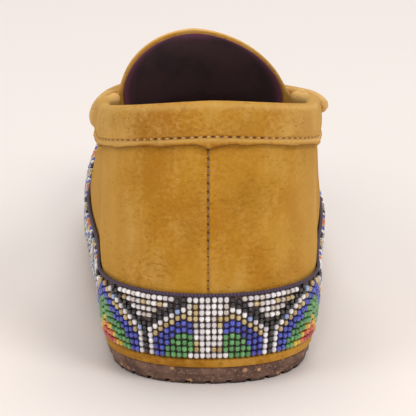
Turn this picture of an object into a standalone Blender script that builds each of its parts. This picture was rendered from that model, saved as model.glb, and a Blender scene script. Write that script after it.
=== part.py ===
"""A beaded suede moccasin with a rubber sole, for the right foot, at its real size.

Metres, +Z up, toe towards +Y, the outer side of the foot towards +X. The origin lies on the floor
under the middle of the heel. Every leather piece is read from one surface, the last.
"""

import math
from collections import namedtuple

import bmesh
import bpy
from mathutils import Vector

# Driving sizes of the last
SOLE_LENGTH = 0.240
BALL_WIDTH = 0.0838
INSTEP_HEIGHT = 0.065
COLLAR_HEIGHT = 0.0968
COLLAR_FALL = 0.0220
COLLAR_CURVE = 0.8
HEEL_REACH = 0.033
HEEL_BACK = 0.0355
FLARE = 0.0028
TOE_OVERHANG = 0.004
TOE_SPRING = 0.005
TOE_SHIFT = -0.0050

# Sheet thicknesses and clearances
WALL = 0.0018
GAP = 0.0003
FIT = 0.0006

# Outsole
SOLE_THICKNESS = 0.0068
SOLE_EDGE = 0.0010
SOLE_LEAN = 0.0017
SOLE_STEP = 0.0006
RIB_HEIGHT = 0.5
TREAD_DEPTH = 0.0014
ARCH_RISE = 0.0010
LUG_PITCH = 0.0070
LUG_GROOVE = 0.0018
LUG_LENGTH = 0.0050
RIM_WIDTH = 0.0085
BAR_LENGTH = 0.0070
BAR_PITCH = 0.0125
BAR_ROOT = 0.0006
HEEL_BARS = (-1, 0, 1, 2)
BAR_END = 0.80

# Insole and the upper's turned-in margin under it
INSOLE_THICKNESS = 0.0030
INSOLE_BEVEL = 0.0006
MARGIN = 0.0080

# Trim on the outside of the wall
RAND_TOP = 0.0099
RAND_THICKNESS = 0.0012
BAND_BOTTOM = 0.0103
BAND_TOP = 0.0324
BAND_THICKNESS = 0.0019
BINDING_RADIUS = 0.0008
CUFF_DEPTH = 0.0125
CUFF_THICKNESS = 0.0015
CUFF_LIP = 0.0005
APRON_THICKNESS = 0.0014
APRON_SEAM_WIDTH = 0.0034
APRON_SEAM_RISE = 0.0015

# Tongue and lace
TONGUE_THICKNESS = 0.0024
TONGUE_WIDTH = 0.0592
TONGUE_DOME = 0.0195
TONGUE_SHIFT = -0.0018
TONGUE_BOW = 12.5
TONGUE_POINT = 2.32
TONGUE_ROUND = 1.74
TONGUE_LEAN = 1.5
TONGUE_SKEW = 2.8
TONGUE_SHARES = (0.12, 0.26, 0.40, 0.54, 0.68, 0.80, 0.90, 0.97, 1.0)
LACE_DIAMETER = 0.0028

# Shares of SOLE_LENGTH where the throat and the round toe begin and end
THROAT_CORNER = 0.4167
THROAT_POINT = 0.5333
BALL = 0.6250
TOE_CENTRE = 0.8917
SPRING_START = 0.6667
ARCH_START = 0.27
ARCH_END = 0.53

# How square the plan of heel and toe is: 2 is an ellipse
HEEL_SQUARE = 2.15
TOE_SQUARE = 2.30

# The last's plan: along as a share of SOLE_LENGTH, centre and half as shares of BALL_WIDTH
Plan = namedtuple("Plan", "along centre half")
PLANS = (
    Plan(0.1375, 0.010, 0.4400),
    Plan(0.2375, 0.020, 0.4530),
    Plan(0.3290, 0.026, 0.4740),
    Plan(0.4167, 0.028, 0.4910),
    Plan(0.5000, 0.028, 0.4976),
    Plan(BALL, 0.032, 0.5000),
)

# The last's sections: crown as a share of INSTEP_HEIGHT, girth as a share of COLLAR_HEIGHT
Crown = namedtuple("Crown", "along crown girth square")
CROWNS = (
    Crown(0.1375, 2.310, 0.360, 3.00),
    Crown(0.2375, 2.310, 0.430, 3.00),
    Crown(0.3540, 1.620, 0.350, 2.50),
    Crown(THROAT_CORNER, 1.500, 0.290, 2.35),
    Crown(0.4750, 1.170, 0.235, 2.70),
    Crown(THROAT_POINT, 1.000, 0.210, 2.35),
    Crown(0.6040, 0.900, 0.190, 2.15),
    Crown(0.6875, 0.825, 0.185, 2.15),
    Crown(0.7700, 0.770, 0.185, 2.20),
    Crown(TOE_CENTRE, 0.730, 0.185, 2.30),
)

# The apron's half-width as a share of the last's, and how far round the toe it reaches
Seam = namedtuple("Seam", "along width")
SEAMS = (Seam(THROAT_POINT, 0.62), Seam(0.625, 0.68), Seam(0.76, 0.68), Seam(TOE_CENTRE, 0.60))
APRON_TOE_SHARE = 0.50

# The tongue's middle line: along as a share of SOLE_LENGTH, height and half-width in their own sizes
Rise = namedtuple("Rise", "along height width")
RISES = (
    Rise(0.5960, 0.0545, 0.68),
    Rise(0.5333, 0.0614, 0.80),
    Rise(0.5030, 0.0655, 0.92),
    Rise(0.4800, 0.0725, 1.00),
)
TONGUE_TOP = Rise(0.4440, 0.0980, 0.0)

BAND_STEPS = 3
FOLD_STEPS = 3
TOP_STEPS = 4
SAME = 1e-6
HEEL_STEPS = 14
TOE_STEPS = 9
SIDE_SHARES = (0.1917, 0.242, 0.292, 0.338, 0.378)
THROAT_STEPS = (0.0, 0.25, 0.5, 0.7, 0.85, 0.95, 1.0)
VAMP_SHARES = (0.568, 0.606)
TOE_FULL = 2 / 3

Station = namedtuple("Station", "axis way reach crown girth square along lift")


def smooth(rows, along, column):
    """Reads one column of a table at a place along the sole, on a curve that is level at both ends."""
    points = [(row.along, getattr(row, column)) for row in rows]
    if along <= points[0][0]:
        return points[0][1]
    if along >= points[-1][0]:
        return points[-1][1]
    low = max(i for i, point in enumerate(points) if point[0] <= along)

    def slope(i):
        if i in (0, len(points) - 1):
            return 0.0
        (a, left), (b, right) = points[i - 1], points[i + 1]
        return (right - left) / (b - a)

    (a, left), (b, right) = points[low], points[low + 1]
    t = (along - a) / (b - a)
    bend = (2 * t**3 - 3 * t**2 + 1) * left + (3 * t**2 - 2 * t**3) * right
    return bend + (b - a) * ((t**3 - 2 * t**2 + t) * slope(low) + (t**3 - t**2) * slope(low + 1))


def place_y(along):
    """Turns a share of the sole's length into Y."""
    return along * SOLE_LENGTH - HEEL_REACH


def share_of(y):
    return (y + HEEL_REACH) / SOLE_LENGTH


def toe_lift(y):
    """How far the sole's toe rises off the floor at Y."""
    start, tip = place_y(SPRING_START), place_y(1.0)
    return TOE_SPRING * (max(0.0, y - start) / (tip - start)) ** 2


def arch_lift(y):
    """How far the waist of the sole's underside rises off the floor at Y."""
    t = (share_of(y) - ARCH_START) / (ARCH_END - ARCH_START)
    return ARCH_RISE * math.sin(math.pi * t) ** 2 if 0 < t < 1 else 0.0


def station(axis, outline):
    """The upright section plane that runs from a point of the ridge line out to the last's plan."""
    across = outline - axis
    along = share_of(axis.y)
    return Station(
        axis,
        across.normalized(),
        across.length,
        smooth(CROWNS, along, "crown") * INSTEP_HEIGHT,
        smooth(CROWNS, along, "girth") * COLLAR_HEIGHT,
        smooth(CROWNS, along, "square"),
        along,
        toe_lift(axis.y + across.y - FLARE * across.normalized().y),
    )


def heel_station(angle):
    """A section plane of the round heel, with its angle measured from +X."""
    half = smooth(PLANS, 0.0, "half") * BALL_WIDTH
    centre = Vector((smooth(PLANS, 0.0, "centre") * BALL_WIDTH, 0.0))
    x, y = math.cos(angle), math.sin(angle)
    power = 2 / HEEL_SQUARE
    across = Vector(
        (half * math.copysign(abs(x) ** power, x), HEEL_BACK * math.copysign(abs(y) ** power, y))
    )
    return station(centre, centre + across)


def side_station(along, side):
    """A section plane straight across the shoe; side is 1 outwards and -1 inwards."""
    centre = smooth(PLANS, along, "centre") * BALL_WIDTH
    half = smooth(PLANS, along, "half") * BALL_WIDTH
    return station(
        Vector((centre, place_y(along))), Vector((centre + side * half, place_y(along)))
    )


def toe_station(angle, side):
    """A section plane of the round toe: its angle is 0 at the ball and a right angle at the tip."""
    ball, tip = place_y(BALL), place_y(1.0) + TOE_OVERHANG
    middle, half = PLANS[-1].centre * BALL_WIDTH, PLANS[-1].half * BALL_WIDTH
    forward = math.sin(angle)
    turned = math.sin(min(1.0, angle / (math.pi / 2 * TOE_FULL)) * math.pi / 2)
    ridge = (place_y(TOE_CENTRE) - ball) / (tip - ball) * turned
    width = half * max(0.0, 1 - forward**TOE_SQUARE) ** 0.5

    def spine(t):
        return Vector((middle + TOE_SHIFT * t * t, ball + (tip - ball) * t))

    return station(spine(ridge), spine(forward) + Vector((side * width, 0.0)))


def all_stations():
    """The section planes once round the shoe, from the toe's tip by the outer side."""
    throat = [
        THROAT_CORNER + (THROAT_POINT - THROAT_CORNER) * step for step in THROAT_STEPS
    ]
    sides = [*SIDE_SHARES, *throat, *VAMP_SHARES, BALL]
    toe = [math.pi / 2 * i / TOE_STEPS for i in range(1, TOE_STEPS)]
    heel = [-math.pi * i / HEEL_STEPS for i in range(HEEL_STEPS + 1)]
    return (
        [toe_station(math.pi / 2, 1)]
        + [toe_station(angle, 1) for angle in reversed(toe)]
        + [side_station(along, 1) for along in reversed(sides)]
        + [heel_station(angle) for angle in heel]
        + [side_station(along, -1) for along in sides]
        + [toe_station(angle, -1) for angle in toe]
    )


def feather(s):
    """The lowest edge of the upper's wall in a section: its radius and height."""
    return s.reach - FLARE, SOLE_THICKNESS + GAP + s.lift


def on_sole(s, r, height):
    """A point of a section at a height over the sole's level, which rises towards the toe."""
    return r, height + toe_lift(s.axis.y + s.way.y * r)


def wall_point(s, v, offset=0.0):
    """A point of the last in a section, moved out along its normal, as (radius, height).

    v runs from -1 at the sole to 0 at the girth and 1 at the crown.
    """
    low_r, low_z = feather(s)
    girth_z = s.girth + s.lift
    if v < 0:
        turn = math.pi / 2 * (v + 1)
        r, z = low_r + FLARE * math.sin(turn), low_z + (girth_z - low_z) * (v + 1)
        normal = Vector((girth_z - low_z, -FLARE * math.pi / 2 * math.cos(turn)))
    else:
        turn, power, rise = math.pi / 2 * v, 2 / s.square, s.crown - girth_z
        across, up = max(0.0, math.cos(turn)) ** power, math.sin(turn) ** power
        if v >= 1:
            across = 0.0
        r, z = s.reach * across, girth_z + rise * up
        normal = Vector(
            (across ** (s.square - 1) / s.reach, up ** (s.square - 1) / rise)
        )
    normal.normalize()
    return r + normal.x * offset, z + normal.y * offset


def v_at_height(s, z):
    """Where in a section the wall reaches a height."""
    low_z, girth_z = feather(s)[1], s.girth + s.lift
    if z <= girth_z:
        return (z - low_z) / (girth_z - low_z) - 1
    share = min(1.0, (z - girth_z) / (s.crown - girth_z))
    return math.asin(share ** (s.square / 2)) / (math.pi / 2)


def v_at_radius(s, r):
    """Where in a section the dome is this wide."""
    return math.acos(min(1.0, r / s.reach) ** (s.square / 2)) / (math.pi / 2)


def collar_z(s):
    """Height of the quarters' top edge, which falls from the back of the heel to the throat."""
    outline_y = s.axis.y + s.way.y * s.reach
    along = max(0.0, outline_y + HEEL_BACK) / (place_y(THROAT_CORNER) + HEEL_BACK)
    return COLLAR_HEIGHT - COLLAR_FALL * min(1.0, along) ** COLLAR_CURVE


def top_v(s):
    """Where in a section the upper ends: at the collar, at the throat's edge or at the crown."""
    if s.along <= THROAT_CORNER:
        return v_at_height(s, collar_z(s))
    if s.along >= THROAT_POINT - SAME:
        return 1.0
    corner = side_station(THROAT_CORNER, 1)
    share = wall_point(corner, v_at_height(corner, collar_z(corner)))[0] / corner.reach
    run = (s.along - THROAT_CORNER) / (THROAT_POINT - THROAT_CORNER)
    return v_at_radius(s, s.reach * share * math.sqrt(1 - run * run))


def break_v(s):
    """The edge of the piece on top: the cuff's lip, or the apron's edge."""
    if s.along <= THROAT_CORNER + SAME:
        return v_at_height(s, collar_z(s) - CUFF_DEPTH)
    share = smooth(SEAMS, s.along, "width")
    share += (APRON_TOE_SHARE - share) * max(0.0, s.way.y) ** 2
    if s.along < THROAT_POINT - SAME:
        lip = side_station(THROAT_CORNER, 1)
        lip_share = wall_point(lip, v_at_height(lip, collar_z(lip) - CUFF_DEPTH))[0] / lip.reach
        run = (s.along - THROAT_CORNER) / (THROAT_POINT - THROAT_CORNER)
        share = lip_share + (share - lip_share) * run**2
    return v_at_radius(s, s.reach * share)


def wall_levels(s):
    """The places up a section where every skin has a row of corners, so that all run parallel."""
    low, high, top = v_at_height(s, BAND_BOTTOM + s.lift), v_at_height(s, BAND_TOP + s.lift), top_v(s)
    edge = break_v(s)
    if s.along < THROAT_POINT - SAME:
        return [-1.0, *span(low, high, BAND_STEPS), (high + edge) / 2, *span(edge, top, TOP_STEPS)]
    share = wall_point(s, edge)[0] - APRON_SEAM_WIDTH
    seam = v_at_radius(s, max(0.0, share))
    return [
        -1.0, *span(low, high, BAND_STEPS), (high + edge) / 2, edge, *span(seam, top, TOP_STEPS - 1)
    ]


def in_space(s, point):
    """Turns (radius, height) in a section into a place in space."""
    r, z = point
    return Vector((s.axis.x + s.way.x * r, s.axis.y + s.way.y * r, z))


def span(low, high, steps):
    return [low + (high - low) * i / steps for i in range(steps + 1)]


MATERIALS = {
    "rubber": ((0.105, 0.055, 0.040), 0.85),
    "suede": ((0.470, 0.235, 0.045), 0.95),
    "footbed": ((0.300, 0.180, 0.080), 0.90),
    "beads": ((0.350, 0.400, 0.450), 0.25),
    "binding": ((0.085, 0.055, 0.110), 0.80),
}


def material(name):
    """A plain finish for one kind of piece."""
    made = bpy.data.materials.get(name)
    if made is None:
        colour, roughness = MATERIALS[name]
        made = bpy.data.materials.new(name)
        made.use_nodes = True
        shader = made.node_tree.nodes["Principled BSDF"]
        shader.inputs["Base Color"].default_value = (*colour, 1.0)
        shader.inputs["Roughness"].default_value = roughness
        shader.inputs["Metallic"].default_value = 0.0
    return made


def add_object(name, data, finish=None):
    """Puts a mesh or curve in the scene, under the empty at the heel centre."""
    made = bpy.data.objects.new(name, data)
    bpy.context.scene.collection.objects.link(made)
    made.parent = bpy.data.objects["heel_centre"]
    if finish:
        data.materials.append(material(finish))
    return made


def finish_mesh(bm, name, finish):
    """Merges shared points, turns every face outwards and makes the object."""
    bmesh.ops.remove_doubles(bm, verts=bm.verts, dist=SAME)
    bmesh.ops.recalc_face_normals(bm, faces=bm.faces)
    mesh = bpy.data.meshes.new(name)
    bm.to_mesh(mesh)
    bm.free()
    mesh.shade_smooth()
    mesh.set_sharp_from_angle(angle=math.radians(40))
    return add_object(name, mesh, finish)


def swept(name, finish, rows, ring=True, loop=True, leave_out=None):
    """Joins rows of points, one row to a section, into one closed skin.

    ring closes it round the shoe, loop closes each row on itself, and leave_out names the strips
    between two rows that stay open because they would lie inside the piece.
    """
    bm = bmesh.new()
    grid = [[bm.verts.new(point) for point in row] for row in rows]
    count = len(grid[0])
    for i in range(len(grid) if ring else len(grid) - 1):
        here, following = grid[i], grid[(i + 1) % len(grid)]
        for j in range(count if loop else count - 1):
            if leave_out is None or not leave_out(i, (i + 1) % len(grid), j):
                k = (j + 1) % count
                bm.faces.new((here[j], following[j], following[k], here[k]))
    if not ring:
        bm.faces.new(grid[0])
        bm.faces.new(list(reversed(grid[-1])))
    return finish_mesh(bm, name, finish)


def block(bm, centre, ways, sizes):
    """Adds a box with its middle at centre and its sides along three directions."""
    corners = []
    for x in (-0.5, 0.5):
        for y in (-0.5, 0.5):
            for z in (-0.5, 0.5):
                shift = sum(
                    (way * size * share for way, size, share in zip(ways, sizes, (x, y, z))),
                    Vector(),
                )
                corners.append(bm.verts.new(centre + shift))
    for face in ((0, 1, 3, 2), (4, 6, 7, 5), (0, 4, 5, 1), (2, 3, 7, 6), (0, 2, 6, 4), (1, 5, 7, 3)):
        bm.faces.new([corners[i] for i in face])


def sole_section(s):
    """The outsole's section from the middle of its underside out and up to the middle of its top."""
    edge = feather(s)[0] + SOLE_EDGE
    foot = edge - SOLE_LEAN

    def low(r, height):
        y = s.axis.y + s.way.y * r
        return r, height + toe_lift(y) + arch_lift(y)

    return [
        low(0.0, TREAD_DEPTH),
        low(foot - RIM_WIDTH, TREAD_DEPTH),
        low(foot - RIM_WIDTH, 0.0),
        low(foot - SOLE_STEP, 0.0),
        low(foot, SOLE_STEP),
        on_sole(s, foot + SOLE_LEAN * RIB_HEIGHT, SOLE_THICKNESS * RIB_HEIGHT),
        on_sole(s, foot + SOLE_LEAN * RIB_HEIGHT + SOLE_STEP, SOLE_THICKNESS * RIB_HEIGHT + SOLE_STEP),
        on_sole(s, edge, SOLE_THICKNESS - SOLE_STEP),
        on_sole(s, edge - SOLE_STEP, SOLE_THICKNESS),
        on_sole(s, feather(s)[0] - MARGIN - FIT, SOLE_THICKNESS),
        on_sole(s, 0.0, SOLE_THICKNESS),
    ]


def edge_grooves(stations):
    """The cutter for the short grooves round the sole's lower edge, evenly spaced."""
    foot = SOLE_EDGE - SOLE_LEAN
    path = [in_space(s, (feather(s)[0] + foot, 0.0)) for s in stations]
    path.append(path[0])
    lengths = [0.0]
    for a, b in zip(path, path[1:]):
        lengths.append(lengths[-1] + (b - a).length)
    count = round(lengths[-1] / LUG_PITCH)
    bm = bmesh.new()
    for number in range(count):
        at = lengths[-1] * number / count
        i = max(k for k, length in enumerate(lengths[:-1]) if length <= at)
        share = (at - lengths[i]) / (lengths[i + 1] - lengths[i])
        place = path[i].lerp(path[i + 1], share)
        run = (path[i + 1] - path[i]).normalized()
        out = Vector((-run.y, run.x, 0.0))
        deep = 2 * (TREAD_DEPTH + toe_lift(place.y) + arch_lift(place.y))
        block(
            bm,
            Vector((place.x, place.y, 0.0)),
            (run, out, Vector((0, 0, 1))),
            (LUG_GROOVE, 2 * LUG_LENGTH, deep),
        )
    return cutter_object(bm, "edge_grooves")


def cutter_object(bm, name):
    bmesh.ops.recalc_face_normals(bm, faces=bm.faces)
    mesh = bpy.data.meshes.new(name)
    bm.to_mesh(mesh)
    bm.free()
    made = add_object(name, mesh)
    made.hide_render = True
    made.display_type = "WIRE"
    return made


def tread_bars():
    """The bars across the middle of heel and forefoot, as one helper to be joined to the sole."""
    bm = bmesh.new()
    heel = [BAR_PITCH * i for i in HEEL_BARS]
    first = place_y(ARCH_END)
    count = int((place_y(BAR_END) - first) / BAR_PITCH)
    fore = [first + BAR_PITCH * i for i in range(count + 1)]
    for y in heel + fore:
        share = share_of(y)
        centre = smooth(PLANS, share, "centre") * BALL_WIDTH
        half = smooth(PLANS, share, "half") * BALL_WIDTH
        if y < 0:
            half *= math.sqrt(1 - (y / HEEL_BACK) ** 2)
        ball, tip = place_y(BALL), place_y(1.0)
        if y > ball:
            run = (y - ball) / (tip - ball)
            half *= math.sqrt(1 - run**TOE_SQUARE)
            centre += TOE_SHIFT * run * run
        half -= FLARE + RIM_WIDTH + 2 * TREAD_DEPTH
        low, high = toe_lift(y - BAR_LENGTH / 2), TREAD_DEPTH + BAR_ROOT + toe_lift(y)
        block(
            bm,
            Vector((centre, y, (low + high) / 2)),
            (Vector((1, 0, 0)), Vector((0, 1, 0)), Vector((0, 0, 1))),
            (2 * half, BAR_LENGTH, high - low),
        )
    return cutter_object(bm, "tread_bars")


def add_boolean(target, operand, operation):
    modifier = target.modifiers.new(operand.name, "BOOLEAN")
    modifier.operation = operation
    modifier.object = operand
    modifier.solver = "EXACT"


def make_outsole(stations):
    """The rubber sole with its grooved edge and tread bars."""
    rows = [[in_space(s, point) for point in sole_section(s)] for s in stations]
    sole = swept("outsole", "rubber", rows, loop=False)
    add_boolean(sole, edge_grooves(stations), "DIFFERENCE")
    add_boolean(sole, tread_bars(), "UNION")


def make_insole(stations):
    """The footbed, stepped underneath so that it fills the ring of the upper's margin."""

    def section(s):
        reach = feather(s)[0]

        def at(r, height):
            return on_sole(s, r, SOLE_THICKNESS + height)

        inner, outer = reach - MARGIN - FIT, reach - WALL - FIT
        over = 2 * GAP + WALL
        top = over + INSOLE_THICKNESS
        return [
            at(0.0, GAP),
            at(inner, GAP),
            at(inner, over),
            at(outer, over),
            at(outer, top - INSOLE_BEVEL),
            at(outer - INSOLE_BEVEL, top),
            at(0.0, top),
        ]

    rows = [[in_space(s, point) for point in section(s)] for s in stations]
    swept("insole", "footbed", rows, loop=False)


def make_upper(stations):
    """The hollow suede shell, its wall an even thickness inside the last's surface."""
    rows = []
    for s in stations:
        low_r, base = feather(s)[0], SOLE_THICKNESS + GAP
        levels = wall_levels(s)[1:]
        outer = [on_sole(s, low_r - MARGIN, base), on_sole(s, low_r, base)]
        outer += [wall_point(s, v) for v in levels]
        inner = [on_sole(s, low_r - MARGIN, base + WALL), on_sole(s, low_r - WALL, base + WALL)]
        inner += [wall_point(s, v, -WALL) for v in levels]
        rows.append([in_space(s, point) for point in outer + inner[::-1]])
    count = len(rows[0]) // 2
    closed = [s.along >= THROAT_POINT - SAME for s in stations]

    def inside(i, j, strip):
        return strip == count - 1 and closed[i] and closed[j]

    swept("upper", "suede", rows, leave_out=inside)


def strip_section(s, levels, inner, outer):
    """A strip on the wall through some levels of a section, as a closed loop."""
    return [wall_point(s, v, inner) for v in levels] + [
        wall_point(s, v, outer) for v in reversed(levels)
    ]


def make_rand(stations):
    """The narrow suede strip between the sole and the beadwork."""
    rows = []
    for s in stations:
        low = v_at_height(s, feather(s)[1] + GAP)
        high = v_at_height(s, RAND_TOP + s.lift)
        section = strip_section(s, (low, high), GAP, GAP + RAND_THICKNESS)
        rows.append([in_space(s, point) for point in section])
    swept("rand", "suede", rows)


def make_bead_band(stations):
    """The beadwork round the base of the upper."""
    rows = []
    for s in stations:
        levels = wall_levels(s)[1 : BAND_STEPS + 2]
        section = strip_section(s, levels, GAP, GAP + BAND_THICKNESS)
        rows.append([in_space(s, point) for point in section])
    swept("bead_band", "beads", rows)


def make_binding(stations):
    """The round edging along the top of the beadwork."""
    rows = []
    height = BAND_TOP + GAP + BINDING_RADIUS
    for s in stations:
        v = v_at_height(s, height + s.lift)
        r, z = wall_point(s, v, GAP + BINDING_RADIUS)
        turns = [2 * math.pi * i / 6 for i in range(6)]
        section = [
            (r + BINDING_RADIUS * math.cos(turn), z + BINDING_RADIUS * math.sin(turn))
            for turn in turns
        ]
        rows.append([in_space(s, point) for point in section])
    swept("band_binding", "binding", rows)


def cuff_section(s):
    """The folded collar's section: down the outside, over the quarters' rim and a little inside."""
    top = top_v(s)
    levels = wall_levels(s)[-TOP_STEPS - 1 :]
    rim_r, rim_z = wall_point(s, top, -WALL / 2)
    lean = Vector(wall_point(s, top)) - Vector((rim_r, rim_z))
    tilt = math.atan2(lean.y, lean.x)

    def over(radius):
        turns = span(tilt, tilt + math.pi, FOLD_STEPS)
        return [(rim_r + radius * math.cos(t), rim_z + radius * math.sin(t)) for t in turns]

    def skin(clear):
        """One face of the cuff, at a distance from the wall."""
        outer = [wall_point(s, v, clear) for v in levels[:-1]]
        inner = [wall_point(s, v, -WALL - clear) for v in levels[-2:0:-1]]
        return outer + over(WALL / 2 + clear) + inner

    inside, outside = skin(GAP), skin(GAP + CUFF_THICKNESS)
    outside[0] = wall_point(s, levels[0], GAP + CUFF_THICKNESS + CUFF_LIP)
    return inside + outside[::-1]


def make_cuff(stations):
    """The collar folded out and down round the quarters, open at the throat."""
    collar = [s for s in stations if s.along <= THROAT_CORNER + SAME]
    rows = [[in_space(s, point) for point in cuff_section(s)] for s in collar]
    swept("collar_cuff", "suede", rows, ring=False)


def make_apron(stations):
    """The plug on top of the vamp, with its seam as a raised roll along the edge."""
    first = next(i for i, s in enumerate(stations) if s.along < THROAT_POINT - SAME)
    last = max(i for i, s in enumerate(stations) if s.along < THROAT_POINT - SAME)
    front = stations[last + 1 :] + stations[:first]
    rows = []
    for s in front:
        low, seam, *rest = wall_levels(s)[-TOP_STEPS - 1 :]
        thick, roll = GAP + APRON_THICKNESS, GAP + APRON_THICKNESS + APRON_SEAM_RISE
        under = [wall_point(s, v, GAP) for v in (*rest[::-1], seam, low)]
        over = [
            wall_point(s, low, thick),
            wall_point(s, low + (seam - low) / 4, roll),
            wall_point(s, low + (seam - low) * 3 / 4, roll),
        ]
        over += [wall_point(s, v, thick) for v in (seam, *rest)]
        rows.append([in_space(s, point) for point in under + over])
    bm = bmesh.new()
    grid = [[bm.verts.new(point) for point in row] for row in rows]
    for here, following in zip(grid, grid[1:]):
        for j in range(len(here) - 1):
            bm.faces.new((here[j], following[j], following[j + 1], here[j + 1]))
    bm.faces.new(grid[0] + grid[-1][-2:0:-1])
    finish_mesh(bm, "apron", "suede")


def tongue_line():
    """The tongue's middle line and half-widths, from under the vamp to the top of its dome."""
    half = TONGUE_WIDTH / 2
    points = [(place_y(r.along), r.height, r.width * half) for r in RISES]
    base = points[-1]
    top_y, top_z = place_y(TONGUE_TOP.along), TONGUE_TOP.height
    for rise in TONGUE_SHARES:
        z = top_z - TONGUE_DOME * (1 - rise)
        share = (z - base[1]) / (top_z - base[1])
        y = base[0] + (top_y - base[0]) * (1 - (1 - share) ** TONGUE_LEAN)
        points.append((y, z, half * (1 - rise**TONGUE_POINT) ** (1 / TONGUE_ROUND)))
    return points


def make_tongue():
    """A bowed sheet that starts under the vamp and stands up as a round dome."""
    line = tongue_line()
    centre = smooth(PLANS, THROAT_POINT, "centre") * BALL_WIDTH
    across = span(-1, 1, 8)
    front, back = [], []
    for i, (y, z, half) in enumerate(line):
        before, after = line[max(0, i - 1)], line[min(len(line) - 1, i + 1)]
        run = Vector((0, after[0] - before[0], after[1] - before[1])).normalized()
        inward = Vector((0, -run.z, run.y))
        stand = (z - RISES[0].height) / (TONGUE_TOP.height - RISES[0].height)
        middle = Vector((centre + (TONGUE_SHIFT - centre) * stand**TONGUE_SKEW, y, z))
        for rows, side in ((front, -0.5), (back, 0.5)):
            rows.append(
                [
                    middle
                    + Vector((u * half, 0, 0))
                    + inward * (TONGUE_BOW * (u * half) ** 2 + side * TONGUE_THICKNESS)
                    for u in across
                ]
            )
    rows = [f + b[::-1] for f, b in zip(front, back)]
    swept("tongue", "suede", rows, ring=False)


def rounded_route(points, spacing):
    """A smooth curve through chosen points, read at even steps."""
    points = [Vector(point) for point in points]
    ends = [points[0] * 2 - points[1], *points, points[-1] * 2 - points[-2]]
    fine = []
    for a, b, c, d in zip(ends, ends[1:], ends[2:], ends[3:]):
        for i in range(12):
            t = i / 12
            fine.append(
                0.5 * (2 * b + (c - a) * t + (2 * a - 5 * b + 4 * c - d) * t**2
                       + (3 * b - a - 3 * c + d) * t**3)
            )
    fine.append(points[-1])
    lengths = [0.0]
    for a, b in zip(fine, fine[1:]):
        lengths.append(lengths[-1] + (b - a).length)
    count = max(2, round(lengths[-1] / spacing))
    even = []
    for number in range(count + 1):
        at = lengths[-1] * number / count
        i = max(k for k, length in enumerate(lengths[:-1]) if length <= at)
        share = (at - lengths[i]) / (lengths[i + 1] - lengths[i])
        even.append(fine[i].lerp(fine[i + 1], share))
    return even


def lace(name, points):
    """One stretch of the suede lace as a round tube along a route."""
    route = rounded_route(points, 2.5 * LACE_DIAMETER)
    curve = bpy.data.curves.new(name, "CURVE")
    curve.dimensions = "3D"
    curve.bevel_depth = LACE_DIAMETER / 2
    curve.bevel_resolution = 2
    curve.use_fill_caps = True
    line = curve.splines.new("POLY")
    line.points.add(len(route) - 1)
    for point, place in zip(line.points, route):
        point.co = (*place, 1.0)
    add_object(name, curve, "suede")


# The lace's routes, chosen by hand over the throat and the vamp, in metres
BAR_ROUTE = (
    (-0.0354, 0.0682, 0.0718), (-0.0352, 0.0690, 0.0722), (-0.0345, 0.0701, 0.0731),
    (-0.0326, 0.0710, 0.0744), (-0.0292, 0.0724, 0.0746), (-0.0255, 0.0747, 0.0746),
    (-0.0207, 0.0777, 0.0750), (-0.0141, 0.0805, 0.0760), (-0.0061, 0.0825, 0.0770),
    (0.0019, 0.0832, 0.0773), (0.0099, 0.0825, 0.0770), (0.0179, 0.0805, 0.0760),
    (0.0245, 0.0777, 0.0750), (0.0295, 0.0747, 0.0746), (0.0335, 0.0724, 0.0746),
    (0.0371, 0.0710, 0.0744), (0.0391, 0.0701, 0.0731), (0.0399, 0.0690, 0.0722),
    (0.0401, 0.0682, 0.0718),
)
KNOT_PLACE = Vector((0.0019, 0.0881, 0.0770))
KNOT_SIZE = Vector((0.0088, 0.0068, 0.0076))
LOOP_LATERAL = (
    (0.0067, 0.0881, 0.0784), (0.0099, 0.0866, 0.0785), (0.0179, 0.0842, 0.0774),
    (0.0248, 0.0817, 0.0758), (0.0302, 0.0792, 0.0745), (0.0360, 0.0764, 0.0740),
    (0.0412, 0.0735, 0.0733), (0.0447, 0.0716, 0.0714), (0.0455, 0.0714, 0.0696),
    (0.0440, 0.0732, 0.0680), (0.0402, 0.0768, 0.0678), (0.0358, 0.0797, 0.0685),
    (0.0305, 0.0822, 0.0698), (0.0240, 0.0844, 0.0719), (0.0170, 0.0862, 0.0738),
    (0.0115, 0.0874, 0.0748), (0.0067, 0.0880, 0.0752),
)
LOOP_MEDIAL = (
    (-0.0029, 0.0881, 0.0784), (-0.0061, 0.0864, 0.0786), (-0.0141, 0.0836, 0.0777),
    (-0.0210, 0.0806, 0.0766), (-0.0266, 0.0780, 0.0758), (-0.0320, 0.0754, 0.0742),
    (-0.0360, 0.0733, 0.0712), (-0.0378, 0.0719, 0.0674), (-0.0374, 0.0720, 0.0643),
    (-0.0364, 0.0738, 0.0632), (-0.0352, 0.0766, 0.0645), (-0.0322, 0.0798, 0.0670),
    (-0.0278, 0.0823, 0.0696), (-0.0210, 0.0845, 0.0722), (-0.0140, 0.0862, 0.0739),
    (-0.0080, 0.0874, 0.0748), (-0.0029, 0.0880, 0.0752),
)
END_LATERAL = (
    (0.0035, 0.0911, 0.0744), (0.0043, 0.0938, 0.0714), (0.0051, 0.0966, 0.0686),
    (0.0064, 0.1002, 0.0663), (0.0088, 0.1056, 0.0640), (0.0112, 0.1116, 0.0618),
    (0.0130, 0.1180, 0.0597), (0.0142, 0.1250, 0.0579),
)
END_MEDIAL = (
    (0.0003, 0.0911, 0.0744), (-0.0006, 0.0938, 0.0714), (-0.0015, 0.0966, 0.0686),
    (-0.0031, 0.1002, 0.0662), (-0.0056, 0.1056, 0.0638), (-0.0080, 0.1114, 0.0616),
    (-0.0094, 0.1176, 0.0597), (-0.0096, 0.1235, 0.0582),
)


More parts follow.
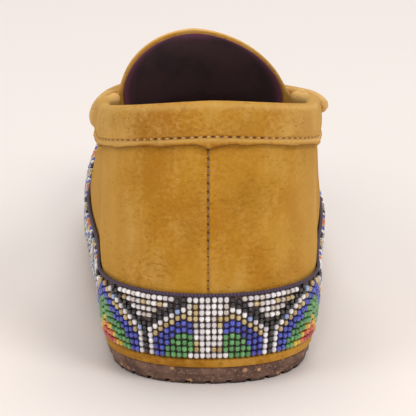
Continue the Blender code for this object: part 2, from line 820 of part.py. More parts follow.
def make_laces():
    """The bars across the tongue, and the bow with its knot, loops and ends."""
    lace("lace_bars", BAR_ROUTE)
    bm = bmesh.new()
    bmesh.ops.create_icosphere(bm, subdivisions=2, radius=0.5)
    for vert in bm.verts:
        vert.co = KNOT_PLACE + Vector(c * size for c, size in zip(vert.co, KNOT_SIZE))
    finish_mesh(bm, "lace_knot", "suede")
    lace("lace_loop_lateral", LOOP_LATERAL)
    lace("lace_loop_medial", LOOP_MEDIAL)
    lace("lace_end_lateral", END_LATERAL)
    lace("lace_end_medial", END_MEDIAL)


def main():
    for old in list(bpy.data.objects):
        bpy.data.objects.remove(old, do_unlink=True)
    bpy.context.scene.collection.objects.link(bpy.data.objects.new("heel_centre", None))
    stations = all_stations()
    make_outsole(stations)
    make_insole(stations)
    make_upper(stations)
    make_tongue()
    make_cuff(stations)
    make_apron(stations)
    make_rand(stations)
    make_bead_band(stations)
    make_binding(stations)
    make_laces()


main()
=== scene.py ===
"""Looks of a beaded suede moccasin for the right foot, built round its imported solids.

Metres, +Z up, toe towards +Y, the outer side of the foot towards +X. Every leather piece and every
bead is placed on one surface, the last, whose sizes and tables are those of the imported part.
"""

import math
import random
from collections import namedtuple

import bmesh
import bpy
from bpy.props import FloatProperty, FloatVectorProperty, IntProperty, PointerProperty
from mathutils import Matrix, Vector


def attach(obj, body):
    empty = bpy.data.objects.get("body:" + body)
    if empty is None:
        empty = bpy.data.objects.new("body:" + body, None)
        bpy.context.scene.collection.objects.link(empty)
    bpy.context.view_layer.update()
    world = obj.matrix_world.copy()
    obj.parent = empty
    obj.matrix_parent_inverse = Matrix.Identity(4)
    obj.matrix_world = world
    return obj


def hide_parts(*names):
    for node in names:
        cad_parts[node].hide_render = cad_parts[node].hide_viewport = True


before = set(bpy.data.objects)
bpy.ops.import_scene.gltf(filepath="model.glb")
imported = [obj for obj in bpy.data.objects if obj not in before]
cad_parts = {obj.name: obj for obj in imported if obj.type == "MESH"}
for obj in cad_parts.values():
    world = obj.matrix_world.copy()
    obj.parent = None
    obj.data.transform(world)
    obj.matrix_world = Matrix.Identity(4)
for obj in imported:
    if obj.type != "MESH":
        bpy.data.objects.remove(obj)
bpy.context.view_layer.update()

bl_info = {
    "name": "Beaded moccasin",
    "version": (1, 0, 0),
    "blender": (4, 5, 0),
    "location": "View3D > Sidebar > Moccasin",
    "description": "Builds the leather, the beadwork and the lace of a moccasin",
    "category": "Object",
}

# Sizes of the last and of the pieces on it, as in the part
SOLE_LENGTH = 0.240
BALL_WIDTH = 0.0838
INSTEP_HEIGHT = 0.065
COLLAR_HEIGHT = 0.0968
COLLAR_FALL = 0.0220
COLLAR_CURVE = 0.8
HEEL_REACH = 0.033
HEEL_BACK = 0.0355
FLARE = 0.0028
TOE_OVERHANG = 0.004
TOE_SPRING = 0.005
TOE_SHIFT = -0.0050
WALL = 0.0018
GAP = 0.0003
FIT = 0.0006
SOLE_THICKNESS = 0.0068
INSOLE_THICKNESS = 0.0030
INSOLE_BEVEL = 0.0006
MARGIN = 0.0080
RAND_TOP = 0.0099
RAND_THICKNESS = 0.0012
BAND_BOTTOM = 0.0103
BAND_TOP = 0.0324
BINDING_RADIUS = 0.00058
CUFF_DEPTH = 0.0119
CUFF_THICKNESS = 0.0012
APRON_THICKNESS = 0.0014
APRON_SEAM_WIDTH = 0.0034
APRON_SEAM_RISE = 0.0015
TONGUE_THICKNESS = 0.0024
TONGUE_WIDTH = 0.0592
TONGUE_DOME = 0.0195
TONGUE_SHIFT = -0.0018
TONGUE_BOW = 12.5
TONGUE_POINT = 2.32
TONGUE_ROUND = 1.74
TONGUE_LEAN = 1.5
TONGUE_SKEW = 2.8
TONGUE_WING = 0.0052
WING_HEIGHT = 0.0745
LACE_DIAMETER = 0.0028

# Shares of SOLE_LENGTH
HEEL_CENTRE = 0.1375
THROAT_CORNER = 0.4167
THROAT_POINT = 0.5333
BALL = 0.6250
TOE_CENTRE = 0.8917
SPRING_START = 0.6667

# How square the plan's heel and toe are, the share of the toe's turn after which its ridge line
# stands still, and the apron's share of the width at the toe. Places and shares closer than SAME
# are one, and ALL_SMOOTH degrees leave no edge sharp.
HEEL_SQUARE = 2.15
TOE_SQUARE = 2.30
TOE_FULL = 2 / 3
APRON_TOE_SHARE = 0.50
SAME = 1e-6
ALL_SMOOTH = 180

# Places round the shoe, in turns from the toe's tip by the outer side: the ball, the start of the
# round heel and the heel seam. A whole turn would be HEEL_RUN metres, going by the heel's back.
BALL_TURN = 0.2
HEEL_TURN = 0.4
SEAM_TURN = 0.5022
HEEL_RUN = 0.55

Plan = namedtuple("Plan", "along centre half")
PLANS = (
    Plan(HEEL_CENTRE, 0.010, 0.4400),
    Plan(0.2375, 0.020, 0.4530),
    Plan(0.3290, 0.026, 0.4740),
    Plan(THROAT_CORNER, 0.028, 0.4910),
    Plan(0.5000, 0.028, 0.4976),
    Plan(BALL, 0.032, 0.5000),
)
Crown = namedtuple("Crown", "along crown girth square")
CROWNS = (
    Crown(HEEL_CENTRE, 2.310, 0.360, 3.00),
    Crown(0.2375, 2.310, 0.430, 3.00),
    Crown(0.3540, 1.620, 0.350, 2.50),
    Crown(THROAT_CORNER, 1.500, 0.290, 2.35),
    Crown(0.4750, 1.170, 0.235, 2.70),
    Crown(THROAT_POINT, 1.000, 0.210, 2.35),
    Crown(0.6040, 0.900, 0.190, 2.15),
    Crown(0.6875, 0.825, 0.185, 2.15),
    Crown(0.7700, 0.770, 0.185, 2.20),
    Crown(TOE_CENTRE, 0.730, 0.185, 2.30),
)
Seam = namedtuple("Seam", "along width")
SEAMS = (Seam(THROAT_POINT, 0.62), Seam(0.625, 0.68), Seam(0.76, 0.68), Seam(TOE_CENTRE, 0.60))
Rise = namedtuple("Rise", "along height width")
RISES = (
    Rise(0.5960, 0.0545, 0.68),
    Rise(0.5333, 0.0614, 0.80),
    Rise(0.5030, 0.0655, 0.92),
    Rise(0.4800, 0.0725, 1.00),
)
TONGUE_TOP = Rise(0.4440, 0.0980, 0.0)

# Soft hollows (depth over 0) and swellings in the suede. turn is the place round the shoe, from 0
# at the toe by the outer side to 0.5 at the back of the heel; rise is a share of COLLAR_HEIGHT;
# the widths and depths are shares of WALL.
Crease = namedtuple("Crease", "turn rise turn_end rise_end width depth")
CREASES = (
    Crease(0.535, 0.78, 0.548, 0.42, 3.2, 0.20),
    Crease(0.562, 0.74, 0.560, 0.50, 2.6, -0.16),
    Crease(0.585, 0.72, 0.575, 0.36, 3.0, 0.22),
    Crease(0.520, 0.50, 0.530, 0.36, 3.4, -0.14),
    Crease(0.455, 0.70, 0.462, 0.40, 3.4, 0.20),
    Crease(0.430, 0.76, 0.436, 0.46, 2.6, -0.18),
    Crease(0.418, 0.60, 0.425, 0.36, 2.8, 0.18),
    Crease(0.480, 0.62, 0.470, 0.38, 3.6, 0.12),
    Crease(0.395, 0.66, 0.352, 0.44, 3.2, 0.26),
    Crease(0.375, 0.44, 0.330, 0.40, 3.0, 0.22),
    Crease(0.610, 0.66, 0.652, 0.44, 3.2, 0.26),
    Crease(0.628, 0.46, 0.670, 0.40, 3.0, 0.22),
    Crease(0.262, 0.42, 0.238, 0.56, 2.4, 0.24),
    Crease(0.228, 0.40, 0.214, 0.52, 2.2, 0.22),
    Crease(0.738, 0.42, 0.762, 0.56, 2.4, 0.24),
    Crease(0.772, 0.40, 0.786, 0.52, 2.2, 0.22),
)

# Where the heel's nap is brushed pale (tone above 0) or dark (below 0), in metres; the last patch, on
# the heel's outer edge, is painted rim light. They fade out from the middle of the heel forwards, and
# end at HEEL_PATCH_END.
Patch = namedtuple("Patch", "x height half_width half_height tone")
HEEL_PATCH_END = 0.02
NAP_PATCHES = (
    Patch(-0.0256, 0.0520, 0.0035, 0.0110, 1.0),
    Patch(-0.0330, 0.0550, 0.0060, 0.0200, 0.5),
    Patch(0.0240, 0.0490, 0.0040, 0.0120, 0.5),
    Patch(0.0325, 0.0620, 0.0035, 0.0150, 0.7),
    Patch(0.0150, 0.0800, 0.0080, 0.0050, 0.3),
    Patch(-0.0270, 0.0670, 0.0070, 0.0090, -0.20),
    Patch(-0.0060, 0.0540, 0.0040, 0.0130, -0.16),
    Patch(0.0130, 0.0660, 0.0090, 0.0100, -0.20),
    Patch(-0.0210, 0.0400, 0.0080, 0.0050, -0.14),
    Patch(0.0050, 0.0400, 0.0080, 0.0040, -0.14),
    Patch(-0.0260, 0.0890, 0.0090, 0.0040, -0.14),
    Patch(0.0000, 0.0930, 0.0060, 0.0030, -0.06),
    Patch(0.0120, 0.0900, 0.0060, 0.0040, -0.16),
    Patch(0.0290, 0.0900, 0.0060, 0.0060, 0.5),
    # Painted rim light along the heel's outer edge
    Patch(0.0385, 0.0600, 0.0034, 0.0300, 1.3),
)

# The lace's routes, as in the part, in metres
BAR_ROUTE = (
    (-0.0354, 0.0682, 0.0718), (-0.0352, 0.0690, 0.0722), (-0.0345, 0.0701, 0.0731),
    (-0.0326, 0.0710, 0.0744), (-0.0292, 0.0724, 0.0746), (-0.0255, 0.0747, 0.0746),
    (-0.0207, 0.0777, 0.0750), (-0.0141, 0.0805, 0.0760), (-0.0061, 0.0825, 0.0770),
    (0.0019, 0.0832, 0.0773), (0.0099, 0.0825, 0.0770), (0.0179, 0.0805, 0.0760),
    (0.0245, 0.0777, 0.0750), (0.0295, 0.0747, 0.0746), (0.0335, 0.0724, 0.0746),
    (0.0371, 0.0710, 0.0744), (0.0391, 0.0701, 0.0731), (0.0399, 0.0690, 0.0722),
    (0.0401, 0.0682, 0.0718),
)
KNOT_PLACE = Vector((0.0019, 0.0881, 0.0770))
KNOT_SIZE = Vector((0.0088, 0.0068, 0.0076))
LOOP_LATERAL = (
    (0.0067, 0.0881, 0.0784), (0.0099, 0.0866, 0.0785), (0.0179, 0.0842, 0.0774),
    (0.0248, 0.0817, 0.0758), (0.0302, 0.0792, 0.0745), (0.0360, 0.0764, 0.0740),
    (0.0412, 0.0735, 0.0733), (0.0447, 0.0716, 0.0714), (0.0455, 0.0714, 0.0696),
    (0.0440, 0.0732, 0.0680), (0.0402, 0.0768, 0.0678), (0.0358, 0.0797, 0.0685),
    (0.0305, 0.0822, 0.0698), (0.0240, 0.0844, 0.0719), (0.0170, 0.0862, 0.0738),
    (0.0115, 0.0874, 0.0748), (0.0067, 0.0880, 0.0752),
)
LOOP_MEDIAL = (
    (-0.0029, 0.0881, 0.0784), (-0.0061, 0.0864, 0.0786), (-0.0141, 0.0836, 0.0777),
    (-0.0210, 0.0806, 0.0766), (-0.0266, 0.0780, 0.0758), (-0.0320, 0.0754, 0.0742),
    (-0.0360, 0.0733, 0.0712), (-0.0378, 0.0719, 0.0674), (-0.0374, 0.0720, 0.0643),
    (-0.0364, 0.0738, 0.0632), (-0.0352, 0.0766, 0.0645), (-0.0322, 0.0798, 0.0670),
    (-0.0278, 0.0823, 0.0696), (-0.0210, 0.0845, 0.0722), (-0.0140, 0.0862, 0.0739),
    (-0.0080, 0.0874, 0.0748), (-0.0029, 0.0880, 0.0752),
)
END_LATERAL = (
    (0.0035, 0.0911, 0.0744), (0.0043, 0.0938, 0.0714), (0.0051, 0.0966, 0.0686),
    (0.0064, 0.1002, 0.0663), (0.0088, 0.1056, 0.0640), (0.0112, 0.1116, 0.0618),
    (0.0130, 0.1180, 0.0597), (0.0142, 0.1250, 0.0579),
)
END_MEDIAL = (
    (0.0003, 0.0911, 0.0744), (-0.0006, 0.0938, 0.0714), (-0.0015, 0.0966, 0.0686),
    (-0.0031, 0.1002, 0.0662), (-0.0056, 0.1056, 0.0638), (-0.0080, 0.1114, 0.0616),
    (-0.0094, 0.1176, 0.0597), (-0.0096, 0.1235, 0.0582),
)

# Steps and sides of the fine meshes. The heel's even steps end SEAM_CLEAR off its back, and close
# to the seam the steps lie SEAM_TURNS off it on both sides. A crease reaches CREASE_REACH of its
# widths. Under 1, TUBE_POWER makes a thong's section a little square.
TOE_STEPS = 42
QUARTER_STEPS = 30
THROAT_STEPS = 14
VAMP_STEPS = 9
HEEL_STEPS = 44
SEAM_TURNS = (0.0004, 0.0009, 0.0018, 0.0032)
SEAM_CLEAR = 0.0080
SIDE_LEVELS = 14
TOP_LEVELS = 24
CREASE_STEPS = 6
CREASE_REACH = 3
CURVE_STEPS = 12
ROUTE_SPACING = 0.0012
TUBE_SIDES = 12
TUBE_POWER = 0.8


# The last

Station = namedtuple("Station", "axis way reach crown girth square along lift")


def smooth(rows, along, column):
    """One column of a table at a place along the sole, on a curve that is level at both ends."""
    points = [(row.along, getattr(row, column)) for row in rows]
    if along <= points[0][0]:
        return points[0][1]
    if along >= points[-1][0]:
        return points[-1][1]
    low = max(i for i, point in enumerate(points) if point[0] <= along)

    def slope(i):
        if i in (0, len(points) - 1):
            return 0.0
        (a, left), (b, right) = points[i - 1], points[i + 1]
        return (right - left) / (b - a)

    (a, left), (b, right) = points[low], points[low + 1]
    t = (along - a) / (b - a)
    bend = (2 * t**3 - 3 * t**2 + 1) * left + (3 * t**2 - 2 * t**3) * right
    return bend + (b - a) * ((t**3 - 2 * t**2 + t) * slope(low) + (t**3 - t**2) * slope(low + 1))


def place_y(along):
    """Turns a share of the sole's length into Y."""
    return along * SOLE_LENGTH - HEEL_REACH


def share_of(y):
    return (y + HEEL_REACH) / SOLE_LENGTH


def toe_lift(y):
    """How far the sole's toe rises off the floor at Y."""
    start, tip = place_y(SPRING_START), place_y(1.0)
    return TOE_SPRING * (max(0.0, y - start) / (tip - start)) ** 2


def station(axis, outline):
    """The upright section plane that runs from a point of the ridge line out to the last's plan."""
    across = outline - axis
    along = share_of(axis.y)
    return Station(
        axis,
        across.normalized(),
        across.length,
        smooth(CROWNS, along, "crown") * INSTEP_HEIGHT,
        smooth(CROWNS, along, "girth") * COLLAR_HEIGHT,
        smooth(CROWNS, along, "square"),
        along,
        toe_lift(axis.y + across.y - FLARE * across.normalized().y),
    )


def heel_station(angle):
    """A section plane of the round heel, with its angle measured from +X."""
    half = smooth(PLANS, 0.0, "half") * BALL_WIDTH
    centre = Vector((smooth(PLANS, 0.0, "centre") * BALL_WIDTH, 0.0))
    x, y = math.cos(angle), math.sin(angle)
    power = 2 / HEEL_SQUARE
    across = Vector(
        (half * math.copysign(abs(x) ** power, x), HEEL_BACK * math.copysign(abs(y) ** power, y))
    )
    return station(centre, centre + across)


def side_station(along, side):
    """A section plane straight across the shoe; side is 1 outwards and -1 inwards."""
    centre = smooth(PLANS, along, "centre") * BALL_WIDTH
    half = smooth(PLANS, along, "half") * BALL_WIDTH
    return station(
        Vector((centre, place_y(along))), Vector((centre + side * half, place_y(along)))
    )


def toe_station(angle, side):
    """A section plane of the round toe: its angle is 0 at the ball and a right angle at the tip."""
    ball, tip = place_y(BALL), place_y(1.0) + TOE_OVERHANG
    middle, half = PLANS[-1].centre * BALL_WIDTH, PLANS[-1].half * BALL_WIDTH
    forward = math.sin(angle)
    turned = math.sin(min(1.0, angle / (math.pi / 2 * TOE_FULL)) * math.pi / 2)
    ridge = (place_y(TOE_CENTRE) - ball) / (tip - ball) * turned
    width = half * max(0.0, 1 - forward**TOE_SQUARE) ** 0.5

    def spine(t):
        return Vector((middle + TOE_SHIFT * t * t, ball + (tip - ball) * t))

    return station(spine(ridge), spine(forward) + Vector((side * width, 0.0)))


def around(turn):
    """The section plane at a place round the shoe, with turn from 0 at the toe to 0.5 at the back
    of the heel by the outer side, and on to 1 by the inner side."""
    turn %= 1.0
    if turn > 0.5:
        side, turn = -1, 1.0 - turn
    else:
        side = 1
    if turn < BALL_TURN:
        return toe_station(math.pi / 2 * (1 - turn / BALL_TURN), side)
    if turn < HEEL_TURN:
        run = (turn - BALL_TURN) / (HEEL_TURN - BALL_TURN)
        return side_station(BALL + (HEEL_CENTRE - BALL) * run, side)
    angle = math.pi / 2 * (turn - HEEL_TURN) / (0.5 - HEEL_TURN)
    return heel_station(-angle if side > 0 else angle - math.pi)


def turn_of(along):
    """The place round the outer side that lies at a share of the sole's length."""
    return BALL_TURN + (HEEL_TURN - BALL_TURN) * (BALL - along) / (BALL - HEEL_CENTRE)


def fine_turns():
    """Places round the shoe that meet the throat's corner and point exactly.

    They lie close together at the throat and, to cut the groove, at the heel seam.
    """
    turns = span(0.0, BALL_TURN, TOE_STEPS)[:-1]
    point, corner = turn_of(THROAT_POINT), turn_of(THROAT_CORNER)
    turns += span(BALL_TURN, point, VAMP_STEPS)[:-1]
    turns += [
        point + (corner - point) * (1 - math.sin(math.pi / 2 * (1 - i / THROAT_STEPS)))
        for i in range(THROAT_STEPS)
    ]
    turns += span(corner, HEEL_TURN, QUARTER_STEPS)[:-1]
    turns += span(HEEL_TURN, 0.5 - SEAM_CLEAR, HEEL_STEPS // 2)
    seam = [SEAM_TURN - step for step in reversed(SEAM_TURNS)] + [SEAM_TURN]
    seam += [SEAM_TURN + step for step in SEAM_TURNS]
    return turns + seam + [1.0 - turn for turn in reversed(turns[1:])]


def span(low, high, steps):
    return [low + (high - low) * i / steps for i in range(steps + 1)]


def feather(s):
    """The lowest edge of the upper's wall in a section: its radius and height."""
    return s.reach - FLARE, SOLE_THICKNESS + GAP + s.lift


def on_sole(s, r, height):
    """A point of a section at a height over the sole's level, which rises towards the toe."""
    return r, height + toe_lift(s.axis.y + s.way.y * r)


def wall_point(s, v, offset=0.0):
    """A point of the last in a section, moved out along its normal, as (radius, height).

    v runs from -1 at the sole to 0 at the girth and 1 at the crown.
    """
    low_r, low_z = feather(s)
    girth_z = s.girth + s.lift
    if v < 0:
        turn = math.pi / 2 * (v + 1)
        r, z = low_r + FLARE * math.sin(turn), low_z + (girth_z - low_z) * (v + 1)
        normal = Vector((girth_z - low_z, -FLARE * math.pi / 2 * math.cos(turn)))
    else:
        turn, power, rise = math.pi / 2 * v, 2 / s.square, s.crown - girth_z
        across, up = max(0.0, math.cos(turn)) ** power, math.sin(turn) ** power
        if v >= 1:
            across = 0.0
        r, z = s.reach * across, girth_z + rise * up
        normal = Vector((across ** (s.square - 1) / s.reach, up ** (s.square - 1) / rise))
    normal.normalize()
    return r + normal.x * offset, z + normal.y * offset


def v_at_height(s, z):
    """Where in a section the wall reaches a height."""
    low_z, girth_z = feather(s)[1], s.girth + s.lift
    if z <= girth_z:
        return (z - low_z) / (girth_z - low_z) - 1
    share = min(1.0, (z - girth_z) / (s.crown - girth_z))
    return math.asin(share ** (s.square / 2)) / (math.pi / 2)


def v_at_radius(s, r):
    """Where in a section the dome is this wide."""
    return math.acos(min(1.0, r / s.reach) ** (s.square / 2)) / (math.pi / 2)


def collar_z(s):
    """Height of the quarters' top edge, which falls from the back of the heel to the throat."""
    outline_y = s.axis.y + s.way.y * s.reach
    along = max(0.0, outline_y + HEEL_BACK) / (place_y(THROAT_CORNER) + HEEL_BACK)
    return COLLAR_HEIGHT - COLLAR_FALL * min(1.0, along) ** COLLAR_CURVE


def top_v(s):
    """Where in a section the upper ends: at the collar, at the throat's edge or at the crown."""
    if s.along <= THROAT_CORNER + SAME:
        return v_at_height(s, collar_z(s))
    if s.along >= THROAT_POINT - SAME:
        return 1.0
    corner = side_station(THROAT_CORNER, 1)
    share = wall_point(corner, v_at_height(corner, collar_z(corner)))[0] / corner.reach
    run = (s.along - THROAT_CORNER) / (THROAT_POINT - THROAT_CORNER)
    return v_at_radius(s, s.reach * share * math.sqrt(1 - run * run))


def apron_v(s):
    """The apron's edge in a section."""
    share = smooth(SEAMS, s.along, "width")
    share += (APRON_TOE_SHARE - share) * max(0.0, s.way.y) ** 2
    return v_at_radius(s, s.reach * share)


def in_space(s, point):
    """Turns (radius, height) in a section into a place in space."""
    r, z = point
    return Vector((s.axis.x + s.way.x * r, s.axis.y + s.way.y * r, z))


def on_wall(turn, height):
    """A place on the last at a place round the shoe and a height."""
    s = around(turn)
    return in_space(s, wall_point(s, v_at_height(s, height)))


def brushed(place):
    """How much paler or darker the nap lies at a place on the heel, with painted rim light on its
    outer edge; it fades out forwards.
    """
    fade = min(1.0, (HEEL_PATCH_END - place.y) / HEEL_PATCH_END)
    tone = 0.0
    if fade > 0:
        for patch in NAP_PATCHES:
            across = bell(place.x - patch.x, patch.half_width)
            tone += fade * patch.tone * across * bell(place.z - patch.height, patch.half_height)
    return tone


def bell(distance, width):
    return math.exp(-((distance / width) ** 2))


def crease_lines():
    """The creases as short chains of places on the last, with their width and depth."""
    lines = []
    for c in CREASES:
        chain = []
        for t in span(0.0, 1.0, CREASE_STEPS):
            rise = c.rise + (c.rise_end - c.rise) * t
            chain.append(on_wall(c.turn + (c.turn_end - c.turn) * t, rise * COLLAR_HEIGHT))
        lines.append((chain, c.width * WALL, c.depth * WALL))
    return lines


def relief(lines, place):
    """How far the suede stands out of the last at a place, because of the creases."""
    total = 0.0
    for chain, width, depth in lines:
        near = min((place - point).length for point in chain[1:-1])
        if near < CREASE_REACH * width:
            total -= depth * bell(near, width)
    return total


# Meshes


def add_object(name, data):
    made = bpy.data.objects.new(name, data)
    bpy.context.scene.collection.objects.link(made)
    return made


def make_object(name, mesh, finish, nodes=()):
    """Puts a finished piece in the scene, on the shoe's one body."""
    made = add_object(name, mesh)
    if not mesh.materials:
        mesh.materials.append(finish)
    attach(made, "root")
    if nodes:
        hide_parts(*nodes)
    return made


def finish_mesh(bm, name, sharp=50):
    """Merges shared points, turns every face outwards and gives the mesh."""
    bmesh.ops.remove_doubles(bm, verts=bm.verts, dist=SAME)
    bmesh.ops.recalc_face_normals(bm, faces=bm.faces)
    mesh = bpy.data.meshes.new(name)
    bm.to_mesh(mesh)
    bm.free()
    mesh.shade_smooth()
    mesh.set_sharp_from_angle(angle=math.radians(sharp))
    return mesh


def swept(name, rows, ring=True, loop=True, leave_out=None, marks=None):
    """Joins rows of points, one row to a section, into one closed skin.

    marks gives each point a value, which the finish reads as the attribute "mark".
    """
    bm = bmesh.new()
    layer = bm.verts.layers.float.new("mark")
    grid = [[bm.verts.new(point) for point in row] for row in rows]
    count = len(grid[0])
    if marks:
        for corners, values in zip(grid, marks):
            for corner, value in zip(corners, values):
                corner[layer] = value
    for i in range(len(grid) if ring else len(grid) - 1):
        following = (i + 1) % len(grid)
        for j in range(count if loop else count - 1):
            if leave_out is None or not leave_out(i, following, j):
                k = (j + 1) % count
                bm.faces.new((grid[i][j], grid[following][j], grid[following][k], grid[i][k]))
    if not ring:
        bm.faces.new(grid[0])
        bm.faces.new(list(reversed(grid[-1])))
    return finish_mesh(bm, name)


def even_route(points, spacing):
    """A smooth curve through chosen points, read at even steps."""
    points = [Vector(point) for point in points]
    ends = [points[0] * 2 - points[1], *points, points[-1] * 2 - points[-2]]
    fine = []
    for a, b, c, d in zip(ends, ends[1:], ends[2:], ends[3:]):
        for i in range(CURVE_STEPS):
            t = i / CURVE_STEPS
            fine.append(
                0.5 * (2 * b + (c - a) * t + (2 * a - 5 * b + 4 * c - d) * t**2
                       + (3 * b - a - 3 * c + d) * t**3)
            )
    fine.append(points[-1])
    return even_chain(fine, spacing)


def lengths_along(chain):
    """How far along a chain each of its places lies."""
    lengths = [0.0]
    for a, b in zip(chain, chain[1:]):
        lengths.append(lengths[-1] + (b - a).length)
    return lengths


def even_chain(fine, spacing):
    """A chain of places read again at even steps, with its two ends kept."""
    lengths = lengths_along(fine)
    count = max(2, round(lengths[-1] / spacing))
    even, i = [], 0
    for number in range(count + 1):
        at = lengths[-1] * number / count
        while i < len(fine) - 2 and lengths[i + 1] < at:
            i += 1
        share = (at - lengths[i]) / (lengths[i + 1] - lengths[i])
        even.append(fine[i].lerp(fine[i + 1], share))
    return even


def ring_angles(sides):
    return [2 * math.pi * i / sides for i in range(sides)]


def tube(name, route, section, end=1.0):
    """A closed thong along a route, a little square in its section.

    section gives the half-width and half-thickness, and end the size of the two end rings.
    """
    rows = []
    flat = (route[1] - route[0]).cross(Vector((0, 0, 1))).normalized()
    for i, place in enumerate(route):
        run = (route[min(i + 1, len(route) - 1)] - route[max(i - 1, 0)]).normalized()
        flat = (flat - run * flat.dot(run)).normalized()
        high = flat.cross(run).normalized()
        full = end if i in (0, len(route) - 1) else 1.0
        row = []
        for turn in ring_angles(TUBE_SIDES):
            x = math.copysign(abs(math.cos(turn)) ** TUBE_POWER, math.cos(turn))
            z = math.copysign(abs(math.sin(turn)) ** TUBE_POWER, math.sin(turn))
            row.append(place + full * (flat * x * section[0] + high * z * section[1]))
        rows.append(row)
    return swept(name, rows, ring=False)


# Shader trees


class Socket:
    """A value in a shader tree. Arithmetic on it adds Math nodes."""

    def __init__(self, finish, output):
        self.finish = finish
        self.output = output

    def math(self, operation, first, second=0.0):
        return self.finish.node(
            "ShaderNodeMath", {"operation": operation}, {0: first, 1: second}
        )

    def __add__(self, other):
        return self.math("ADD", self, other)

    def __radd__(self, other):
        return self.math("ADD", other, self)

    def __sub__(self, other):
        return self.math("SUBTRACT", self, other)

    def __rsub__(self, other):
        return self.math("SUBTRACT", other, self)

    def __mul__(self, other):
        return self.math("MULTIPLY", self, other)

    def __rmul__(self, other):
        return self.math("MULTIPLY", other, self)


def add_node(tree, kind, settings=None, inputs=None):
    """Adds a node: its settings first, then the values or links of its sockets."""
    made = tree.nodes.new(kind)
    for key, value in (settings or {}).items():
        setattr(made, key, value)
    for key, value in (inputs or {}).items():
        if isinstance(value, Socket):
            value = value.output
        if isinstance(value, bpy.types.NodeSocket):
            tree.links.new(value, made.inputs[key])
        else:
            made.inputs[key].default_value = value
    return made


class Finish:
    """A material being built, with its shader's fixed values set at once."""

    def __init__(self, name, **fixed):
        self.material = bpy.data.materials.new(name)
        self.material.use_nodes = True
        self.tree = self.material.node_tree
        self.shader = self.tree.nodes["Principled BSDF"]
        for key, value in fixed.items():
            self.shader.inputs[key.replace("_", " ").title()].default_value = value

    def node(self, kind, settings=None, inputs=None, output=0):
        return Socket(self, add_node(self.tree, kind, settings, inputs).outputs[output])

    def places(self, scale=(1.0, 1.0, 1.0)):
        """Object coordinates, stretched along the axes."""
        where = self.node("ShaderNodeTexCoord", output=3)
        return self.node(
            "ShaderNodeVectorMath", {"operation": "MULTIPLY"}, {0: where, 1: scale}
        )

    def noise(self, size, detail=3.0, scale=(1.0, 1.0, 1.0)):
        """Soft random spots of a size in metres, from 0 to 1."""
        return self.node(
            "ShaderNodeTexNoise",
            inputs={"Vector": self.places(scale), "Scale": 1 / size, "Detail": detail},
        )

    def spots(self, size, scale=(1.0, 1.0, 1.0)):
        """Distance from scattered points that lie about a size apart."""
        return self.node(
            "ShaderNodeTexVoronoi",
            inputs={"Vector": self.places(scale), "Scale": 1 / size},
        )

    def ramp(self, value, low, high):
        """0 below low and 1 above high, with a soft passage."""
        return self.node(
            "ShaderNodeMapRange",
            {"interpolation_type": "SMOOTHSTEP"},
            {0: value, 1: low, 2: high},
        )

    def mix(self, factor, first, second):
        return self.node(
            "ShaderNodeMix",
            {"data_type": "RGBA"},
            {0: factor, 6: first, 7: second},
            output=2,
        )

    def attribute(self, name):
        return self.node("ShaderNodeAttribute", {"attribute_name": name}, output=2)

    def connect(self, **values):
        for key, value in values.items():
            self.tree.links.new(value.output, self.shader.inputs[key.replace("_", " ").title()])
        return self

    def bump(self, height, depth, strength=1.0):
        """Relief from a height, on the shader's normal; depth is in metres."""
        self.connect(
            normal=self.node(
                "ShaderNodeBump",
                inputs={"Strength": strength, "Distance": depth, "Height": height},
            )
        )
        return self


# Where painted sheen pales the suede towards the shoe's sides: squares of the distance from the middle
# plane
SHEEN_SIDES_START, SHEEN_SIDES_END = 0.0003, 0.0015
# Height of the dark tread, and how fast the binding's yarn is wound, in radians a metre
TREAD_TOP = 0.0024
WINDING = 5200.0


def paint(red, green, blue):
    """A colour as a screen shows it, from 0 to 255, turned into linear light."""

    def linear(value):
        share = value / 255
        return share / 12.92 if share <= 0.04045 else ((share + 0.055) / 1.055) ** 2.4

    return (linear(red), linear(green), linear(blue), 1.0)


